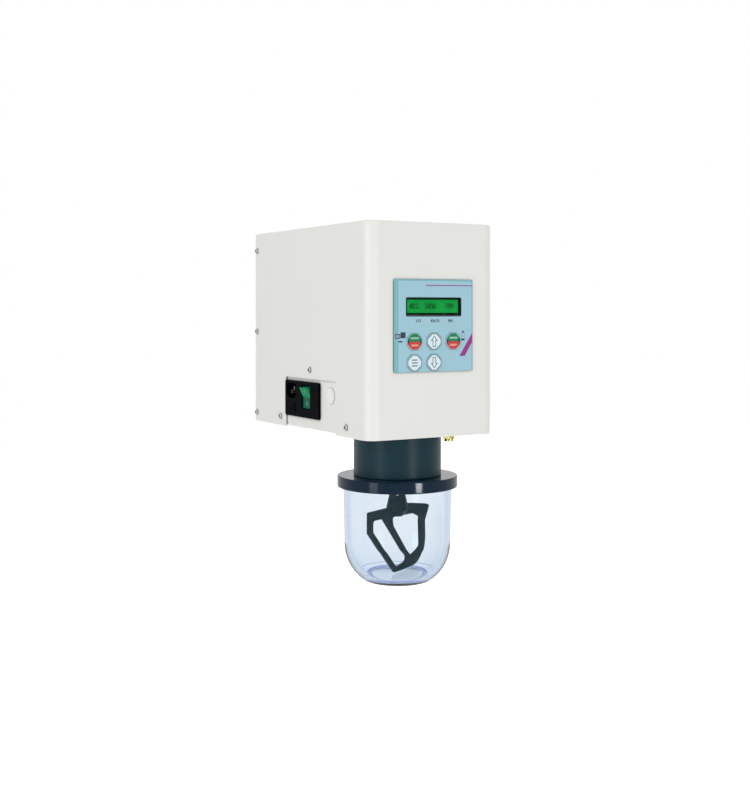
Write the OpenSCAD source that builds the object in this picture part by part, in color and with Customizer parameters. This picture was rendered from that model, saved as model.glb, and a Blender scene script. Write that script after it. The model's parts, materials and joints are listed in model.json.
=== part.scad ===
// Wall-hung vacuum mixer for dental materials: a sheet-metal housing with its
// drive, pump and controls, a docking collar, and a lid, bowl and paddle below.
// Millimetres. +Z up, -Y is the front, the wall is the plane y = 0 and the
// origin is the centre of the four wall bolts.

/* [Housing] */
// Width over the side walls of the hood
box_w = 158; // [152:1:180]
// Depth from the wall to the front face
box_l = 275; // [268:1:300]
// Height of the hood
box_h = 225; // [215:1:250]
// Sheet thickness of the hood
hood_wall = 1.5; // [1:0.1:2]
// Outer radius of the two upright front bends of the hood
bend_r = 13.5; // [8:0.5:18]
// How far the hood hangs below the bottom plate
hood_lip = 1.5; // [0.5:0.1:3]
// Sheet thickness of the bottom plate and its flanges
base_t = 2; // [1.5:0.1:3]
// Sheet thickness of the back plate and its flanges
back_t = 2; // [1.5:0.1:3]
// Width of the flanges that the hood screws hold
flange_w = 18; // [15:1:22]

/* [Wall bolts] */
// Distance between the wall bolts across the width
wall_dx = 100; // [80:1:120]
// Distance between the wall bolts in height
wall_dz = 150; // [120:1:160]
// Diameter of each wall bolt hole
wall_hole_d = 6.5; // [5:0.1:8]

/* [Screws] */
// Thread diameter of the hood screws
screw_d = 4; // [3:0.1:4.5]
// Head diameter of the hood screws
head_d = 6.8; // [6:0.1:8]
// Head height of the hood screws
head_h = 2; // [1.4:0.1:2.6]
// Distance of the rear screws from the wall
rear_screw_y = 4.9; // [4.5:0.1:8]
// Height of the lowest hood screws above the hood's lower edge
low_screw_z = 10.5; // [9:0.1:13]

/* [Side notch and power module] */
// Length of the notch in the hood's left side
notch_l = 122; // [118:1:126]
// Height of the notch
notch_h = 57; // [56:0.5:62]
// Centre of the notch behind the front face
notch_y = 129; // [127:1:131]
// Length of the power module's flange
module_l = 83; // [81:1:90]
// Height of the power module's flange
module_h = 40; // [38:1:42]
// Depth of the power module's body behind its flange
module_depth = 32; // [30:1:34]
// Thickness of the power module's flange
module_t = 3; // [2.5:0.1:4]
// Diameter of the round blanking plug
plug_d = 17; // [16:0.5:19]

/* [Control panel] */
// Width of the keypad panel
panel_w = 97; // [94:1:110]
// Height of the keypad panel
panel_h = 96; // [94:1:104]
// Height of the panel's centre above the hood's lower edge
panel_z = 117; // [110:1:125]
// Thickness of the keypad's switch foil
foil_t = 0.8; // [0.7:0.1:1.2]
// Thickness of the keypad's printed front foil
overlay_t = 0.6; // [0.5:0.1:1]
// Width of the display window
window_w = 69; // [68:0.5:72]
// Height of the display window
window_h = 20; // [19:0.5:22]
// Width of a key across its flats
key_w = 18.4; // [16:0.1:20]
// Height of a key across its flats
key_h = 17.8; // [16:0.1:18.4]
// Distance between the columns of keys
key_dx = 24; // [22:0.5:26]
// Distance between the rows of keys
key_dz = 22; // [20:0.5:23]
// Travel of each key
key_travel = 0.4; // [0.2:0.05:0.5]

/* [Docking collar and lid] */
// Distance of the bowl axis behind the front face
axis_y = 73; // [70:0.5:76]
// Outer diameter of the collar
collar_d = 96; // [94:1:104]
// Wall of the collar
collar_wall = 6; // [5:0.5:7]
// Height of the collar below the hood's lower edge
collar_h = 47; // [44:1:56]
// Diameter of the lid
lid_d = 132; // [130:1:140]
// Thickness of the lid
lid_t = 12.5; // [12:0.5:16]
// Depth of the lid's groove for the bowl
groove_h = 8; // [7:0.5:8.5]
// Thickness of the gasket in the groove
gasket_t = 1.5; // [1:0.1:2]

/* [Bowl] */
// Outer diameter of the bowl at its rim
bowl_d = 119; // [117:0.5:121]
// Wall of the bowl
bowl_wall = 3.5; // [3:0.1:4]
// Height of the bowl below the lid
bowl_h = 102.5; // [101:0.5:120]
// Thickness of the bowl's floor
bowl_floor = 5; // [4:0.5:5.5]
// Radius of the bowl's rounded lower corner
bowl_round = 47; // [46:0.5:49]

/* [Paddle] */
// Width of the paddle's blade
blade_w = 98.5; // [94:0.5:99]
// Thickness of the paddle's blade
blade_t = 3; // [2.5:0.1:4]
// Gap between the paddle and the bowl's floor
floor_gap = 1.5; // [1:0.1:3]
// Angle of the blade to the front face when at rest
blade_angle = 20; // [0:1:90]
// How far the fin's outer corner stands out of the blade
fin_out = 8; // [4:0.5:9]
// Diameter of the paddle's shaft
paddle_shaft_d = 8; // [7:0.1:8.4]

/* [Drive] */
// Diameter of the drive shaft
shaft_d = 10; // [9:0.1:10.4]
// Module of the gear pair
gear_m = 1.25; // [1.2:0.01:1.3]
// Teeth of the pinion on the motor
pinion_z = 16; // [16:1:17]
// Teeth of the gear on the drive shaft
gear_z = 56; // [54:1:57]
// Width of the drive gear's teeth
gear_b = 8; // [6:0.5:9]
// Diameter of the mixing motor
motor_d = 66; // [60:1:68]
// Length of the mixing motor
motor_l = 92; // [80:1:110]

/* [Fits] */
// Gap between the hood and the sheet metal inside it
fit_gap = 0.3; // [0.2:0.05:0.4]
// Gap round a loosely guided piece
slide_gap = 0.3; // [0.2:0.05:0.4]
// Radial clearance of a running shaft
run_gap = 0.05; // [0.03:0.01:0.08]
// Play between the flanks of the gear teeth
backlash = 0.25; // [0.2:0.05:0.35]

/* [Hidden] */
$fn = 64;

// Colours, as the photograph shows them
enamel = [0.90, 0.90, 0.88];
slate = [0.14, 0.22, 0.26];
steel = [0.75, 0.76, 0.78];
brass = [0.80, 0.62, 0.30];
black_plastic = [0.10, 0.10, 0.12];
board_green = [0.10, 0.38, 0.20];
light_blue = [0.66, 0.82, 0.86];

// Housing: faces and levels, heights counted from the hood's lower edge
inner_x = box_w/2 - hood_wall;
flange_x = inner_x - fit_gap;
inner_front = box_l - hood_wall;
base_z = hood_lip;
floor_z = hood_lip + base_t;
inner_top = box_h - hood_wall;
wall_z = box_h/2;
hood_rear = 0.5;
top_r = 2.5;
low_flange_h = 18;
flap_h = notch_h + 20;
flap_l = notch_l + 12;
notch_c = notch_y - box_l;
notch_round = 1.5;
flap_screw_z = notch_h + 10;
low_screws_y = [204 - box_l, 45 - box_l];
screw_len = 8;
thread_gap = 0.05;
vent_count = 7;
vent_pitch = 9;
vent_x = 21 - box_w/2;
vent_y = -68;
vent_w = 3.5;
vent_l = 46;

// Power module
module_y = notch_c + notch_l/2 - fit_gap - module_l/2;
module_z = 33.3;
module_x = -flange_x;
module_face = module_x - module_t;
inlet_y = module_y + module_l/2 - 16.5;
inlet_z = module_z + 8.4;
inlet_w = 24;
inlet_h = 16.8;
inlet_deep = 17;
drawer_w = 23;
drawer_h = 12;
drawer_l = 26;
drawer_z = module_z - 10;
drawer_grip = 1.2;
fuse_d = 5.2;
fuse_l = 20;
rocker_y = module_y - module_l/2 + 30.5;
rocker_z = module_z + 3;
rocker_w = 20;
rocker_r = 13;
rocker_back_r = rocker_r - 1.8;
rocker_tilt = 12;
rocker_pin_r = 1.5;
rocker_x = module_face + 4.8;
rocker_well = 18;
plug_y = notch_c - 46.5;
plug_z = 41;
plug_t = 1.6;
plug_neck = plug_d - 3;
stud_x = 19 - box_w/2;
stud_y = -36;
stud_d = 4;
stud_l = 14;

// Control panel, from the hood's front face outwards
panel_y = -box_l;
foil_y = panel_y - foil_t;
overlay_y = foil_y - overlay_t;
window_z = panel_z + 19.5;
key_top_z = panel_z - 16.5;
key_rise = 0.6;
plunger_d = 11;
plunger_gap = key_travel + 0.05;
dome_t = 0.25;
glass_w = 64;
glass_h = 15.5;
glass_up = 1.3;
glass_deep = 2.5;
bezel_t = 1.5;
bezel_lap_x = 7;
bezel_lap_z = 5;
lcd_rim_x = 5;
lcd_rim_z = 4;
pillar_d = 5;
standoff_d = 6;
window_r = 2;
foil_corner = 0.8;
board_w = 118;
board_h = 92;
board_t = 1.6;
board_y = -box_l + hood_wall + 17;
board_hole_x = board_w/2 - 5;
board_hole_z = board_h/2 - 5;
board_hole_d = 3.4;
relay_count = 4;
relay_pitch = 19;
relay_size = [15, 9, 11];
chip_count = 3;
chip_pitch = 26;
chip_size = [18, 3.5, 10];
cap_d = 12;
cap_l = 14;
terminal_size = [30, 11, 16];
lcd_board_w = 80;
lcd_board_h = 36;
lcd_board_y = panel_y + hood_wall + bezel_t + 7;

// Bowl axis: lid, bowl and paddle, heights counted from the hood's lower edge
axis_c = axis_y - box_l;
lid_top = -collar_h;
lid_low = lid_top - lid_t;
spigot_h = 6;
spigot_r = collar_d/2 - collar_wall - slide_gap;
groove_top = lid_low + groove_h;
groove_r = bowl_d/2 + slide_gap;
bush_r = 8;
seal_r = 11;
seal_seat = 5;
filter_r = 17;
filter_w = 14;
filter_deep = 3;
suction_hole_r = 24;
rim_z = groove_top - gasket_t;
bowl_low = lid_low - bowl_h;
bowl_r = bowl_d/2;
draft = 1.3;
corner_z = bowl_low + 40;
corner_x = bowl_r - draft - bowl_round;
foot_r = corner_x + sqrt(pow(bowl_round, 2) - pow(corner_z - bowl_low, 2));
floor_top = bowl_low + bowl_floor;
inner_round = bowl_round - 2;
inner_c = bowl_r - draft - bowl_wall - inner_round;
inner_corner_z = corner_z + 3.5;
inner_foot = inner_c + sqrt(pow(inner_round, 2) - pow(inner_corner_z - floor_top, 2));

// Paddle: outline in the blade's own plane, across and up
blade_low = floor_top + floor_gap;
blade_top = lid_low - 24;
bar = 10;
side_bar = 7.2;
half = blade_w/2;
left_low = blade_top - 22;
tip_left = -6.4;
tip_right = 3.5;
sweep_w = 25;
sweep_h = 34.5;
fin_from = 27;
fin_low = blade_top - 20;
fin_rows = 8;
hub_top = lid_low - 3;
clip_z = lid_top + 1.1 + run_gap;
clip_t = 1;
clip_groove = 0.4;
clip_r = 6.6;
shaft_in_hub = 9;
hub_r = 7.6;
hub_low_r = 12;
pin_r = 1.5;
pin_l = 19;
pin_z = hub_top - 5;
pin_angle = -120;

// Drive
gear_rp = gear_m*gear_z/2;
pinion_rp = gear_m*pinion_z/2;
motor_y = gear_rp + pinion_rp;
addendum = 0.8*gear_m;
dedendum = 1.1*gear_m;
gear_low = 30;
plate_low = 50;
plate_t = 4;
plate_w = 76;
post_d = 10;
post_x = 30;
post_front = -32;
post_rear = motor_y + 33;
post_screw_d = 5;
plate_edge = 7;
seat_rim = 4;
bearing_r = 13;
bearing_h = 8;
seat_gap = 0.02;
lower_seat = -24;
web_low = -18;
web_t = 5;
boss_r = 17;
chamber_r = collar_d/2 - collar_wall;
socket_top = -24;
socket_low = -39;
hex_af = paddle_shaft_d - 0.6;
hex_top = -30;
collar_bolt_r = collar_d/2 - 6;
collar_bolts = [20:90:290];
collar_screw_d = 5;
collar_head_d = 8.5;
collar_head_h = 5;
collar_key_d = 4.6;
collar_screw_deep = 9;
seal_w = 2.4;
seal_h = 2;
shaft_low = socket_top - 2;
motor_low = plate_low + plate_t;
motor_shaft_d = 8;
motor_bolt_r = motor_d/2 - 8;
motor_screw_d = 4;
motor_screw_l = 9;
cover_h = 5;
slot_w = 3;
slot_h = 14;

// Pump and hoses
hose_d = 9;
hose_bore = 6;
nipple_r = hose_bore/2;
nipple_wall = 1;
elbow_wall = 1.5;
port_gap = 0.05;
port_r = nipple_r + elbow_wall + port_gap;
port_x = 28;
elbow_z = 14;
elbow_tip = 46;
pump_x = 36;
pump_l = 26;
plate_gap = 1;
pump_y = axis_c + post_rear + plate_edge + plate_gap + pump_l;
pump_z = 32;
pump_w = 46;
pump_case_w = 34;
pump_case_h = 24;
pump_head_w = 60;
pump_head_t = 8;
pump_cap_t = 14;
cap_joint = 1;
pump_motor_d = 42;
pump_motor_l = 52;
pump_hub_d = 16;
pump_hub_l = 6;
foot_w = 24;
foot_l = 18;
foot_rise = 6;
foot_gap = 0.05;
nipple_z = pump_z + pump_case_h + pump_head_t + cap_joint + pump_cap_t/2;
suction_x = pump_x + 24;
outlet_x = pump_x + 10;
nipple_l = 10;
nipple_out = pump_l + nipple_l;
hose_ease = 0.05;
fitting_x = 38;
fitting_y = 28 - box_l;
fitting_af = 12;
fitting_hex_h = 7;
spigot_d = 9.8;
spigot_l = 3;
fitting_low = base_z - fitting_hex_h - spigot_l;
stem_d = 10;
nut_af = 14;
nut_t = 4;

// Mains transformer
core_w = 66;
core_h = 55;
core_t = 26;
core_leg = 12;
coil_out = 10;
tab_l = 14;
tab_w = 24;
tab_t = 2;

// Routes of the two hoses inside the housing
tip_y = pump_y - nipple_out;
vacuum_route = [[elbow_tip - 8, axis_c, elbow_z], [elbow_tip - 3, axis_c, elbow_z],
    [elbow_tip + 1, axis_c, elbow_z], [elbow_tip + 5, axis_c, elbow_z],
    [59, axis_c + 11, elbow_z + 2], [61, axis_c + 26, elbow_z + 10], [61, axis_c + 42, elbow_z + 24],
    [61, axis_c + 52, elbow_z + 40], [suction_x, tip_y - 19, nipple_z - 5],
    [suction_x, tip_y - 7, nipple_z], [suction_x, tip_y - 2, nipple_z],
    [suction_x, tip_y + 4, nipple_z], [suction_x, tip_y + nipple_l - 1, nipple_z]];
outlet_route = [[fitting_x, fitting_y, 13], [fitting_x, fitting_y, 22], [fitting_x, fitting_y, 30],
    [fitting_x + 3, fitting_y + 3, 42], [fitting_x + 9, fitting_y + 10, 56],
    [fitting_x + 12, fitting_y + 25, 66], [fitting_x + 13, fitting_y + 47, nipple_z],
    [fitting_x + 13, fitting_y + 82, nipple_z + 2], [outlet_x + 2, tip_y - 22, nipple_z + 1],
    [outlet_x, tip_y - 7, nipple_z], [outlet_x, tip_y - 2, nipple_z],
    [outlet_x, tip_y + 4, nipple_z], [outlet_x, tip_y + nipple_l - 1, nipple_z]];

// Moves its children from the hood's lower edge to the wall bolts' frame
module from_edge() {
    translate([0, 0, -wall_z]) children();
}

// The same, on the bowl axis
module on_axis() {
    translate([0, axis_c, -wall_z]) children();
}

// Plan of the housing: square at the wall, rounded at the two front corners
module plan(half_w, front, rear, round) {
    translate([-half_w, -front + round]) square([2*half_w, front - round - rear]);
    translate([-half_w + round, -front]) square([2*(half_w - round), round + 1]);
    for (side = [-1, 1]) translate([side*(half_w - round), -front + round]) circle(round);
}

// Rectangle with rounded corners, centred
module rounded(w, h, r) {
    square([w - 2*r, h], center = true);
    square([w, h - 2*r], center = true);
    for (x = [-1, 1], y = [-1, 1]) translate([x*(w/2 - r), y*(h/2 - r)]) circle(r);
}

// Extrudes a plan drawn in X and Z forwards, from y_rear to y_rear - depth
module forward(y_rear, depth) {
    translate([0, y_rear, 0]) rotate([90, 0, 0]) linear_extrude(depth) children();
}

// Extrudes a plan drawn in Y and Z along X, from x_low
module sideways(x_low, length) {
    translate([x_low, 0, 0]) rotate([90, 0, 90]) linear_extrude(length) children();
}

// Screw positions on the hood: side, y, height
rear_screws = [low_screw_z - 0.3, box_h/2 - 5, box_h - 20.5];
hood_screw_list = concat(
    [for (side = [-1, 1], z = rear_screws) [side, -rear_screw_y, z]],
    [for (side = [-1, 1], y = low_screws_y) [side, y, low_screw_z]],
    [[-1, notch_c, flap_screw_z]]);

module side_holes(radius) {
    for (s = hood_screw_list)
        translate([s[0]*(box_w/2 - 6), s[1], s[2]]) rotate([0, 90, 0])
            cylinder(r = radius, h = 16, center = true, $fn = 24);
}

// What the rounded top edge takes away, drawn from the sharp edge outwards and up
module edge_waste() {
    difference() {
        translate([-top_r, -top_r]) square(top_r + 1);
        translate([-top_r, -top_r]) circle(top_r);
    }
}

module top_edge() {
    half_front = box_w/2 - bend_r;
    translate([0, 0, box_h]) {
        for (side = [0, 1]) mirror([side, 0, 0]) {
            translate([box_w/2, 1, 0]) rotate([90, 0, 0])
                linear_extrude(box_l - bend_r + 1) edge_waste();
            translate([half_front, -box_l + bend_r, 0]) rotate(-90)
                rotate_extrude(angle = 90) translate([bend_r, 0]) edge_waste();
        }
        mirror([0, 1, 0]) translate([-half_front, box_l, 0]) rotate([90, 0, 90])
            linear_extrude(2*half_front) edge_waste();
    }
}

module hood() {
    color(enamel) from_edge() difference() {
        linear_extrude(box_h) plan(box_w/2, box_l, hood_rear, bend_r);
        top_edge();
        translate([0, 0, -1])
            linear_extrude(inner_top + 1) plan(inner_x, inner_front, -1, bend_r - hood_wall);
        sideways(-box_w/2 - 1, hood_wall + 3)
            translate([notch_c, notch_h/2 - 5]) rounded(notch_l, notch_h + 10, notch_round);
        side_holes(screw_d/2 + fit_gap/2);
        forward(panel_y + hood_wall + 1, hood_wall + 2)
            translate([0, window_z + glass_up]) square([glass_w + 4, glass_h + 4], center = true);
    }
}

module back_plate() {
    low = floor_z;
    high = inner_top - fit_gap;
    color(enamel) from_edge() difference() {
        union() {
            translate([-flange_x, -back_t, low]) cube([2*flange_x, back_t, high - low]);
            for (side = [-1, 1])
                translate([side*(flange_x - back_t/2) - back_t/2, -flange_w, low])
                    cube([back_t, flange_w, high - low]);
            translate([-flange_x, -flange_w, high - back_t]) cube([2*flange_x, flange_w, back_t]);
        }
        for (x = [-1, 1], z = [-1, 1])
            translate([x*wall_dx/2, 0, wall_z + z*wall_dz/2]) rotate([90, 0, 0])
                cylinder(d = wall_hole_d, h = 3*back_t, center = true);
        side_holes(screw_d/2 + thread_gap);
    }
}

// Side view of the left flange: low at both ends, high behind the notch
module flap_shape() {
    front = -inner_front + bend_r + 4;
    rear = -flange_w - 3;
    translate([front, base_z]) square([rear - front, low_flange_h]);
    translate([notch_c, base_z + flap_h/2]) rounded(flap_l, flap_h, 4);
    translate([notch_c - flap_l/2, base_z]) square([flap_l, low_flange_h]);
}

module bottom_plate() {
    front = -inner_front + bend_r + 4;
    rear = -flange_w - 3;
    color(enamel) from_edge() difference() {
        union() {
            translate([0, 0, base_z]) linear_extrude(base_t)
                plan(flange_x, inner_front - fit_gap, 0, bend_r - hood_wall - fit_gap);
            sideways(-flange_x, base_t) flap_shape();
            translate([flange_x - base_t, front, base_z]) cube([base_t, rear - front, low_flange_h]);
            translate([-flange_x + 6, -back_t - base_t, base_z])
                cube([2*flange_x - 12, base_t, low_flange_h]);
        }
        side_holes(screw_d/2 + thread_gap);
        sideways(-flange_x - 1, base_t + 2) {
            translate([module_y, module_z]) rounded(module_l - 5, module_h - 5, 1);
            translate([plug_y, plug_z]) circle(d = plug_neck + 0.4);
        }
        translate([0, axis_c, 0]) {
            cylinder(r = shaft_d/2 + 3, h = 3*floor_z, center = true);
            translate([port_x, 0, 0]) cylinder(r = port_r, h = 3*floor_z, center = true);
            for (a = collar_bolts) rotate(a) translate([collar_bolt_r, 0, 0])
                cylinder(d = collar_screw_d + fit_gap, h = 3*floor_z, center = true, $fn = 24);
        }
        translate([fitting_x, fitting_y, 0])
            cylinder(d = stem_d + 2*thread_gap, h = 3*floor_z, center = true);
        for (i = [0:vent_count - 1]) translate([vent_x + i*vent_pitch, vent_y, 0])
            linear_extrude(3*floor_z, center = true) rounded(vent_w, vent_l, vent_w/2 - 0.05);
    }
}

// Pan-head screw with a cross recess, along +X from its head
module pan_screw(d, head, rise, length) {
    rotate([0, 90, 0]) difference() {
        union() {
            rotate_extrude($fn = 32) polygon(concat([[0, 0]],
                [for (a = [0:15:75]) [head/2*cos(a*0.85), -rise*sin(a*1.2)]], [[0, -rise]]));
            cylinder(d = d, h = length, $fn = 24);
        }
        translate([0, 0, -rise - 0.1]) for (a = [0, 90]) rotate(a)
            translate([-head*0.3, -0.5, 0]) cube([head*0.6, 1, rise*0.7]);
    }
}

module hood_screws() {
    color(steel) from_edge() for (s = hood_screw_list)
        translate([s[0]*box_w/2, s[1], s[2]]) rotate(s[0] > 0 ? 180 : 0)
            pan_screw(screw_d, head_d, head_h, screw_len);
}

// Outline of the appliance inlet: a rectangle with its two lower corners cut
module inlet_shape() {
    cut = 4.5;
    polygon([[-inlet_w/2, inlet_h/2], [inlet_w/2, inlet_h/2], [inlet_w/2, -inlet_h/2 + cut],
        [inlet_w/2 - cut, -inlet_h/2], [-inlet_w/2 + cut, -inlet_h/2], [-inlet_w/2, -inlet_h/2 + cut]]);
}

inlet_blades = [[-7, -1.5], [0, 2.5], [7, -1.5]];

module power_module() {
    color(black_plastic) from_edge() difference() {
        union() {
            sideways(module_face, module_t)
                translate([module_y, module_z]) rounded(module_l, module_h, 2);
            sideways(module_x - 0.1, module_depth)
                translate([module_y, module_z]) rounded(module_l - 5.6, module_h - 5.6, 1);
        }
        sideways(module_face - 1, inlet_deep + 1) translate([inlet_y, inlet_z]) inlet_shape();
        sideways(module_face + inlet_deep - 1, module_depth)
            for (b = inlet_blades) translate([inlet_y + b[0], inlet_z + b[1]])
                square([2.1, 4.1], center = true);
        sideways(module_face - 1, drawer_l + 3) translate([inlet_y, drawer_z])
            square([drawer_w + 2*slide_gap, drawer_h + 2*slide_gap], center = true);
        sideways(module_face - 1, rocker_well) translate([rocker_y, rocker_z])
            square([rocker_w + 2*slide_gap, 2*(rocker_r + slide_gap)], center = true);
        translate([rocker_x, rocker_y, rocker_z]) rotate([90, 0, 0])
            cylinder(r = rocker_pin_r + run_gap, h = rocker_w + 5, center = true, $fn = 32);
    }
}

// Three contact blades of the inlet, with their solder tags behind the body
module inlet_pins() {
    color(steel) from_edge() for (b = inlet_blades)
        translate([module_face + 3.5, inlet_y + b[0] - 1, inlet_z + b[1] - 2])
            cube([module_depth + 8, 2, 4]);
}

// Profile of the rocker about its pivot, drawn with its lower half pressed in
module rocker_shape() {
    end_a = 90 - 25.6;
    end_u = rocker_r*cos(end_a);
    end_w = rocker_r*sin(end_a);
    valley = end_u - end_w*tan(rocker_tilt);
    rotate(rocker_tilt) polygon([[-valley, 0], [-end_u, end_w], [2, rocker_back_r], [5, 6], [5, -6],
        [2, -rocker_back_r], [-end_u, -end_w]]);
}

module power_rocker() {
    color([0.10, 0.60, 0.42]) from_edge() translate([rocker_x, rocker_y, rocker_z]) {
        rotate([90, 0, 0]) linear_extrude(rocker_w, center = true) rocker_shape();
        rotate([90, 0, 0]) cylinder(r = rocker_pin_r, h = rocker_w + 4, center = true, $fn = 32);
    }
}

module fuse_drawer() {
    color(black_plastic) from_edge() translate([module_face, inlet_y, drawer_z]) difference() {
        union() {
            translate([0, -drawer_w/2, -drawer_h/2]) cube([drawer_l, drawer_w, drawer_h]);
            for (z = [-3.6:2.4:3.6]) translate([-drawer_grip, -drawer_w/2 + 2, z - 0.6])
                cube([drawer_grip + 0.1, drawer_w - 4, 1.2]);
        }
        for (y = [-1, 1]) translate([3, y*5.5 - fuse_d/2 - 0.1, -fuse_d/2 - 0.1])
            cube([fuse_l + 0.4, fuse_d + 0.2, drawer_h]);
    }
}

module fuses() {
    color([0.85, 0.86, 0.88]) from_edge() translate([module_face + 3.2, inlet_y, drawer_z])
        for (y = [-1, 1]) translate([0, y*5.5, 0]) rotate([0, 90, 0])
            rotate_extrude($fn = 32) polygon([[0, 0], [fuse_d/2, 0], [fuse_d/2, 5], [fuse_d/2 - 0.3, 5],
                [fuse_d/2 - 0.3, fuse_l - 5], [fuse_d/2, fuse_l - 5], [fuse_d/2, fuse_l], [0, fuse_l]]);
}

module blanking_plug() {
    color([0.94, 0.94, 0.93]) from_edge() translate([module_x, plug_y, plug_z]) rotate([0, 90, 0])
        rotate_extrude() polygon(concat(
            [for (a = [0:15:90]) [plug_d/2 - 1 + cos(a), -plug_t + 1 - sin(a)]],
            [[0, -plug_t], [0, -0.4], [plug_neck/2 - 1.4, -0.4], [plug_neck/2 - 1.4, base_t + 3],
            [plug_neck/2, base_t + 3], [plug_neck/2 + 0.5, base_t + 1.5],
            [plug_neck/2 + 0.2, base_t + 0.1], [plug_neck/2, base_t], [plug_neck/2, 0], [plug_d/2, 0]]));
}

module earth_stud() {
    color(brass) from_edge() translate([stud_x, stud_y, floor_z]) {
        cylinder(d = stud_d, h = stud_l, $fn = 24);
        for (z = [0, stud_l*0.36]) translate([0, 0, z]) cylinder(d = 2*stud_d, h = 0.8*stud_d, $fn = 6);
    }
}

// Keypad: column, row and node name of each key
function key_x(col) = (col - 1)*key_dx;
function key_z(row) = key_top_z - row*key_dz;
key_spots = [[0, 0], [1, 0], [2, 0], [0, 1], [1, 1]];

// Octagon with the key's width and height over its flats
module key_shape(grow) {
    w = key_w/2 + grow;
    h = key_h/2 + grow;
    c = 0.293*key_w;
    polygon([[-w, -h + c], [-w + c, -h], [w - c, -h], [w, -h + c],
        [w, h - c], [w - c, h], [-w + c, h], [-w, h - c]]);
}

module panel_foil() {
    color([0.2, 0.3, 0.33]) from_edge() forward(panel_y, foil_t) difference() {
        translate([0, panel_z]) rounded(panel_w - 1, panel_h - 1, foil_corner - 0.2);
        translate([0, window_z]) square([window_w - 2, window_h - 2], center = true);
        for (k = key_spots) translate([key_x(k[0]), key_z(k[1])]) circle(d = plunger_d + 2*slide_gap);
    }
}

module panel_overlay() {
    color(light_blue) from_edge() forward(foil_y, overlay_t) difference() {
        translate([0, panel_z]) rounded(panel_w, panel_h, foil_corner);
        translate([0, window_z]) rounded(window_w, window_h, window_r);
        for (k = key_spots) translate([key_x(k[0]), key_z(k[1])]) key_shape(slide_gap);
    }
}

module key_domes() {
    color(steel) from_edge() forward(panel_y, dome_t)
        for (k = key_spots) translate([key_x(k[0]), key_z(k[1])]) circle(d = plunger_d - 1);
}

module display_window() {
    color([0.8, 0.9, 0.9, 0.4]) from_edge() forward(foil_y, overlay_t - 0.1)
        translate([0, window_z]) rounded(window_w - 0.2, window_h - 0.2, window_r);
}

// Black frame round the display: it fills the hood's cut-out and laps behind it
module display_bezel() {
    color(black_plastic) from_edge() difference() {
        union() {
            forward(panel_y + hood_wall, hood_wall) translate([0, window_z + glass_up])
                square([glass_w + 3.6, glass_h + 3.6], center = true);
            forward(panel_y + hood_wall + bezel_t, bezel_t) translate([0, window_z + glass_up])
                rounded(glass_w + 2*bezel_lap_x, glass_h + 2*bezel_lap_z, 2);
        }
        forward(panel_y + 2*hood_wall + bezel_t, 3*hood_wall + 2*bezel_t)
            translate([0, window_z + glass_up]) square([glass_w + 0.4, glass_h + 0.4], center = true);
    }
}

module display_glass() {
    front = overlay_y + glass_deep;
    color([0.0, 0.62, 0.30]) from_edge() {
        forward(lcd_board_y, lcd_board_y - front) translate([0, window_z + glass_up])
            square([glass_w, glass_h], center = true);
        forward(lcd_board_y, lcd_board_y - panel_y - hood_wall - bezel_t - 0.3)
            translate([0, window_z + glass_up])
                square([glass_w + 2*lcd_rim_x, glass_h + 2*lcd_rim_z], center = true);
    }
}

module display_board() {
    color(board_green) from_edge() forward(lcd_board_y + board_t, board_t)
        translate([0, window_z + glass_up]) difference() {
            square([lcd_board_w, lcd_board_h], center = true);
            for (x = [-1, 1], z = [-1, 1])
                translate([x*(lcd_board_w/2 - 3), z*(lcd_board_h/2 - 3)]) circle(d = 3, $fn = 24);
        }
}

module display_pillars() {
    start = lcd_board_y + board_t;
    color(steel) from_edge() forward(board_y, board_y - start) translate([0, window_z + glass_up])
        for (x = [-1, 1], z = [-1, 1])
            translate([x*(lcd_board_w/2 - 3), z*(lcd_board_h/2 - 3)]) circle(d = pillar_d, $fn = 24);
}

// Control board with its relays, chips, capacitors and terminal block behind it
module control_board() {
    rear = board_y + board_t;
    color(board_green) from_edge() {
        forward(rear, board_t) translate([0, panel_z]) difference() {
            rounded(board_w, board_h, 2);
            for (x = [-1, 1], z = [-1, 1])
                translate([x*board_hole_x, z*board_hole_z]) circle(d = board_hole_d, $fn = 24);
        }
        for (i = [0:relay_count - 1])
            translate([-board_w*0.34 + i*relay_pitch, rear, panel_z - board_h*0.37]) cube(relay_size);
        for (i = [0:chip_count - 1])
            translate([-board_w*0.32 + i*chip_pitch, rear, panel_z + board_h*0.04]) cube(chip_size);
        for (i = [0:1]) translate([-board_w*0.36 + i*1.7*cap_d, rear, panel_z + board_h*0.33])
            rotate([-90, 0, 0]) cylinder(d = cap_d, h = cap_l, $fn = 32);
        translate([board_w*0.1, rear, panel_z + board_h*0.22]) cube(terminal_size);
    }
}

module board_standoffs() {
    start = panel_y + hood_wall;
    color(steel) from_edge() forward(board_y, board_y - start) translate([0, panel_z])
        for (x = [-1, 1], z = [-1, 1])
            translate([x*board_hole_x, z*board_hole_z]) circle(d = standoff_d, $fn = 24);
}

// One key: an octagonal cap raised from the panel, with a round plunger behind
module key_cap(col, row) {
    cap_rear = foil_y - plunger_gap;
    cap_front = overlay_y - key_rise;
    from_edge() translate([key_x(col), 0, key_z(row)]) {
        forward(cap_rear, cap_rear - cap_front) key_shape(0);
        forward(panel_y - dome_t - plunger_gap, foil_t - dome_t + 0.1) circle(d = plunger_d);
    }
}

module key_start_left() {
    color([0.2, 0.5, 0.3]) key_cap(0, 0);
}

module key_up() {
    color([0.93, 0.95, 0.96]) key_cap(1, 0);
}

module key_start_right() {
    color([0.2, 0.5, 0.3]) key_cap(2, 0);
}

module key_function() {
    color([0.93, 0.95, 0.96]) key_cap(0, 1);
}

module key_down() {
    color([0.93, 0.95, 0.96]) key_cap(1, 1);
}

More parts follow.
